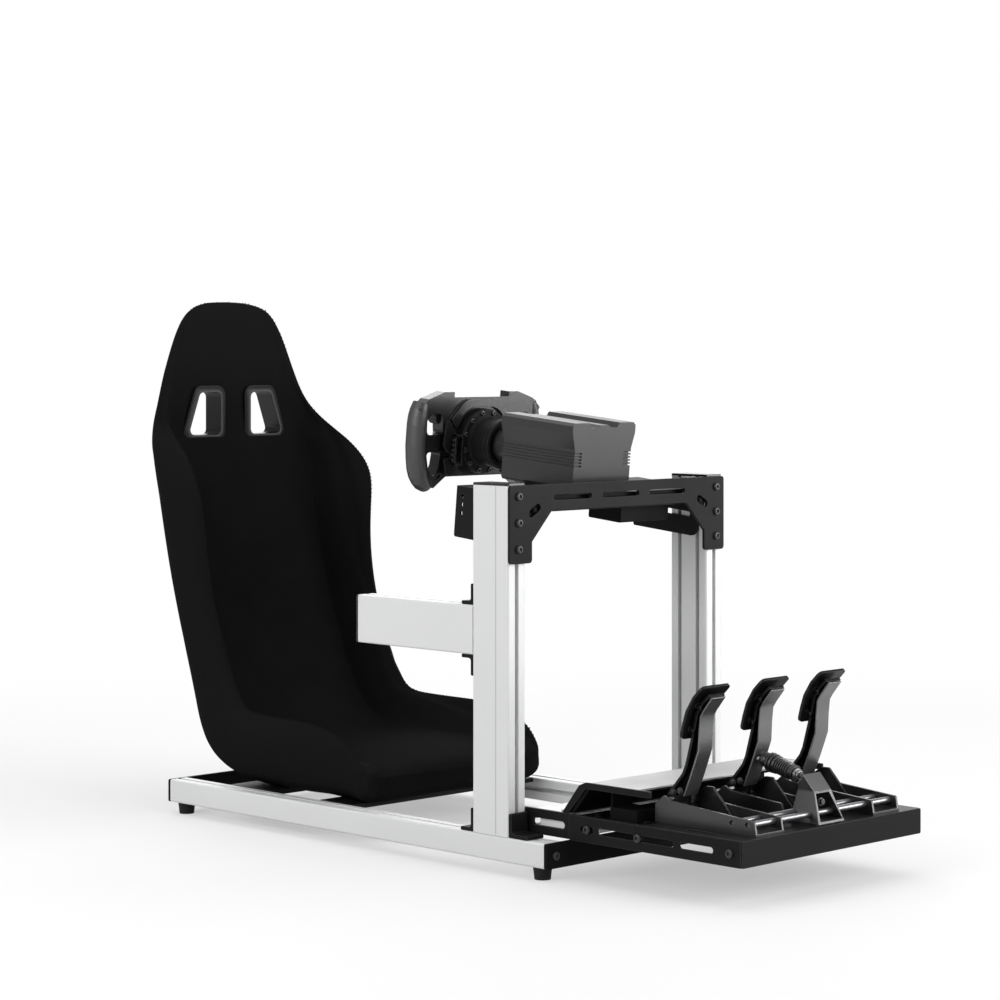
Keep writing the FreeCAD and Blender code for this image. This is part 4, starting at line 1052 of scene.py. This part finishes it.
def wheelDetail():
    spec = wheelSpec
    build = bmesh.new()
    spots = []
    for rank in range(spec["screws"]):
        turn = math.tau * (rank + 0.5) / spec["screws"]
        y = spec["screwReach"] * math.cos(turn)
        z = spec["screwMiddle"] + spec["screwReach"] * math.sin(turn)
        spots.append(((spec["screwX"], y, z), (1, 0, 0)))
    addScrews(build, smallScrew, spots)
    x, y, z = spec["knob"]
    back = spec["stemBack"]
    rear, front = spec["frameX"]
    near, far = spec["frameY"]
    low, high = spec["frameZ"]
    bar = spec["frameBar"]
    for side in (-1, 1):
        knurled(build, (x, side * y, z), spec["knobRadius"], spec["knobLength"])
        stemEnd = (x - back, side * spec["stemRoot"], z + back)
        rod(build, (x - back, side * (y - back), z), stemEnd, spec["stemRadius"], 14)
        for y0, y1, z0, z1 in ((near, near + bar, low, high), (far - bar, far, low, high),
                               (near, far, low, low + bar), (near, far, high - bar, high)):
            left, right = onSide(side, y0, y1)
            box(build, (rear, left, z0), (front, right, z1))
        left, right = onSide(side, far, far + spec["toothDeep"])
        toothRear, toothFront = spec["toothX"]
        for rank in range(spec["teeth"]):
            start = spec["toothStart"] + rank * spec["toothPitch"]
            end = start + spec["toothPitch"] * spec["toothShare"]
            box(build, (toothRear, left, start), (toothFront, right, end))
    bmesh.ops.transform(build, matrix=wheelPlace, verts=build.verts)
    return finishPiece("wheelDetail", build, "black_plastic", "wheel")


wheelDetail()
print("wheel details made")

# box under the wheel deck: the CAD node's own shape, drawn deeper, in painted-shade black
underBoxSpec = {"deep": 0.010, "gain": 1.4}


def underBox():
    build = bmesh.new()
    build.from_mesh(cadNodes["under_deck_box"].data)
    top = max(vert.co.z for vert in build.verts)
    low = min(vert.co.z for vert in build.verts)
    for vert in build.verts:
        share = (top - vert.co.z) / (top - low)
        vert.co.z -= underBoxSpec["deep"] * min(1.0, share * underBoxSpec["gain"])
    return finishPiece("underDeckCase", build, "black_plastic", "frame", 30, "painted_shade_black")


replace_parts(underBox(), "under_deck_box")
print("under-deck box made")

# a fine seam down the outer face of each upright
seamSpec = {"x": (0.2632, 0.2638), "y": (0.2598, 0.2602), "z": (0.062, 0.6165)}
seamBuild = bmesh.new()
for side in (-1, 1):
    low, high = onSide(side, *seamSpec["y"])
    box(seamBuild, (seamSpec["x"][0], low, seamSpec["z"][0]), (seamSpec["x"][1], high, seamSpec["z"][1]))
# the seams take the web satin's grey as a dark line on the aluminium
finishPiece("uprightSeams", seamBuild, "aluminium_profile", "frame", look="lit_web_and_seam_satin")
print("upright seams made")

# harness trims: rounded rings that line the holes and lap over the cloth on both faces
trimSpec = {
    "inner": -0.0015, "outer": 0.011, "innerRadius": 0.010, "outerRadius": 0.018, "steps": 6,
    "rear": -0.7425, "front": -0.6965, "lip": 0.0025, "slope": 0.25,
}


def cornerTurns(corners):
    # each corner, the ways to both neighbours, the way between them and half their angle
    for rank, corner in enumerate(corners):
        here = Vector(corner)
        before = (Vector(corners[rank - 1]) - here).normalized()
        after = (Vector(corners[(rank + 1) % len(corners)]) - here).normalized()
        yield here, before, after, (before + after).normalized(), before.angle(after) / 2


def rounded(corners, radius, steps):
    # a corner list with every corner drawn as an arc
    points = []
    for here, before, after, lean, half in cornerTurns(corners):
        reach = radius / math.tan(half)
        middle = here + lean * radius / math.sin(half)
        start = (here + before * reach - middle).normalized()
        end = (here + after * reach - middle).normalized()
        points += [middle + start.slerp(end, step / steps) * radius for step in range(steps + 1)]
    return points


def offsetOut(corners, reach):
    # every side of a corner list moved outwards by reach
    return [here - lean * reach / math.sin(half) for here, before, after, lean, half in cornerTurns(corners)]


def trimRings():
    spec = trimSpec
    inner = rounded(offsetOut(seatSpec["hole"], spec["inner"]), spec["innerRadius"], spec["steps"])
    outer = rounded(offsetOut(seatSpec["hole"], spec["outer"]), spec["outerRadius"], spec["steps"])
    sloped = [far.lerp(near, spec["slope"]) for near, far in zip(inner, outer)]
    rear, front, lip = spec["rear"], spec["front"], spec["lip"]
    build = bmesh.new()
    for side in (-1, 1):
        rows = []
        for x, loop in ((rear, inner), (front, inner), (front, sloped), (front - lip, outer),
                        (rear + lip, outer), (rear, sloped)):
            rows.append([build.verts.new((x, side * spot.x, spot.y)) for spot in loop])
        closeRows(build, rows)
    # the rings take the darker arm black, a painted-shade copy of the pedals' black
    return finishPiece("harnessRings", build, "black_plastic", "frame", 50, "arm_painted_shade")


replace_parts(trimRings(), "harness_trims")
print("harness trims made")

# dark backing with a bolt behind the curved slots of the front plate, and plugs in the deck's side flanges
backSpec = {
    "slots": [(0.2870, -0.2015, 0.5776), (0.2870, 0.2015, 0.5776)], "radius": 0.0165, "thick": 0.003,
    "boltSize": (0.0045, 0.004), "plugs": [(0.1471, 0.5959), (0.1471, 0.5808), (0.1456, 0.5671)],
    "plugY": (0.2133, 0.2158), "plugRadius": 0.0052,
}
# the backing discs are partly a flange behind the slots and partly painted shade seen through them
backBuild = bmesh.new()
for x, y, z in backSpec["slots"]:
    boltX = x + backSpec["thick"]
    rod(backBuild, (x, y, z), (boltX, y, z), backSpec["radius"], 28)
    hexBolt(backBuild, (boltX, y, z), (1, 0, 0), *backSpec["boltSize"])
for x, z in backSpec["plugs"]:
    for side in (-1, 1):
        inside, outside = backSpec["plugY"]
        rod(backBuild, (x, side * inside, z), (x, side * outside, z), backSpec["plugRadius"], 18)
finishPiece("deckBacking", backBuild, "black_steel", "frame", look="painted_shade_black")
print("deck backing made")

# driver's face of the wheel: a plain panel, and four buttons and a knob on each side
faceSpec = {
    "face": -0.171, "sink": 0.0005, "panelHalf": 0.034, "panelZ": (-0.002, 0.036), "panelThick": 0.0016,
    "buttons": [(0.055, 0.040), (0.061, 0.020), (0.059, 0.0), (0.040, -0.012)], "button": (0.0055, 0.0042),
    "knob": (0.050, -0.034), "knobSize": (0.0095, 0.012),
}
faceBuild = bmesh.new()
faceAt = faceSpec["face"]
faceFoot = faceAt + faceSpec["sink"]
panelHalf = faceSpec["panelHalf"]
panelLow, panelHigh = faceSpec["panelZ"]
box(faceBuild, (faceAt - faceSpec["panelThick"], -panelHalf, panelLow), (faceFoot, panelHalf, panelHigh))
for side in (-1, 1):
    radius, height = faceSpec["button"]
    for y, z in faceSpec["buttons"]:
        rod(faceBuild, (faceFoot, side * y, z), (faceAt - height, side * y, z), radius, 20)
    y, z = faceSpec["knob"]
    knurled(faceBuild, (faceFoot, side * y, z), *faceSpec["knobSize"])
bmesh.ops.transform(faceBuild, matrix=wheelPlace, verts=faceBuild.verts)
finishPiece("wheelFaceControls", faceBuild, "black_plastic", "wheel", look="base_grey")
print("wheel face made")
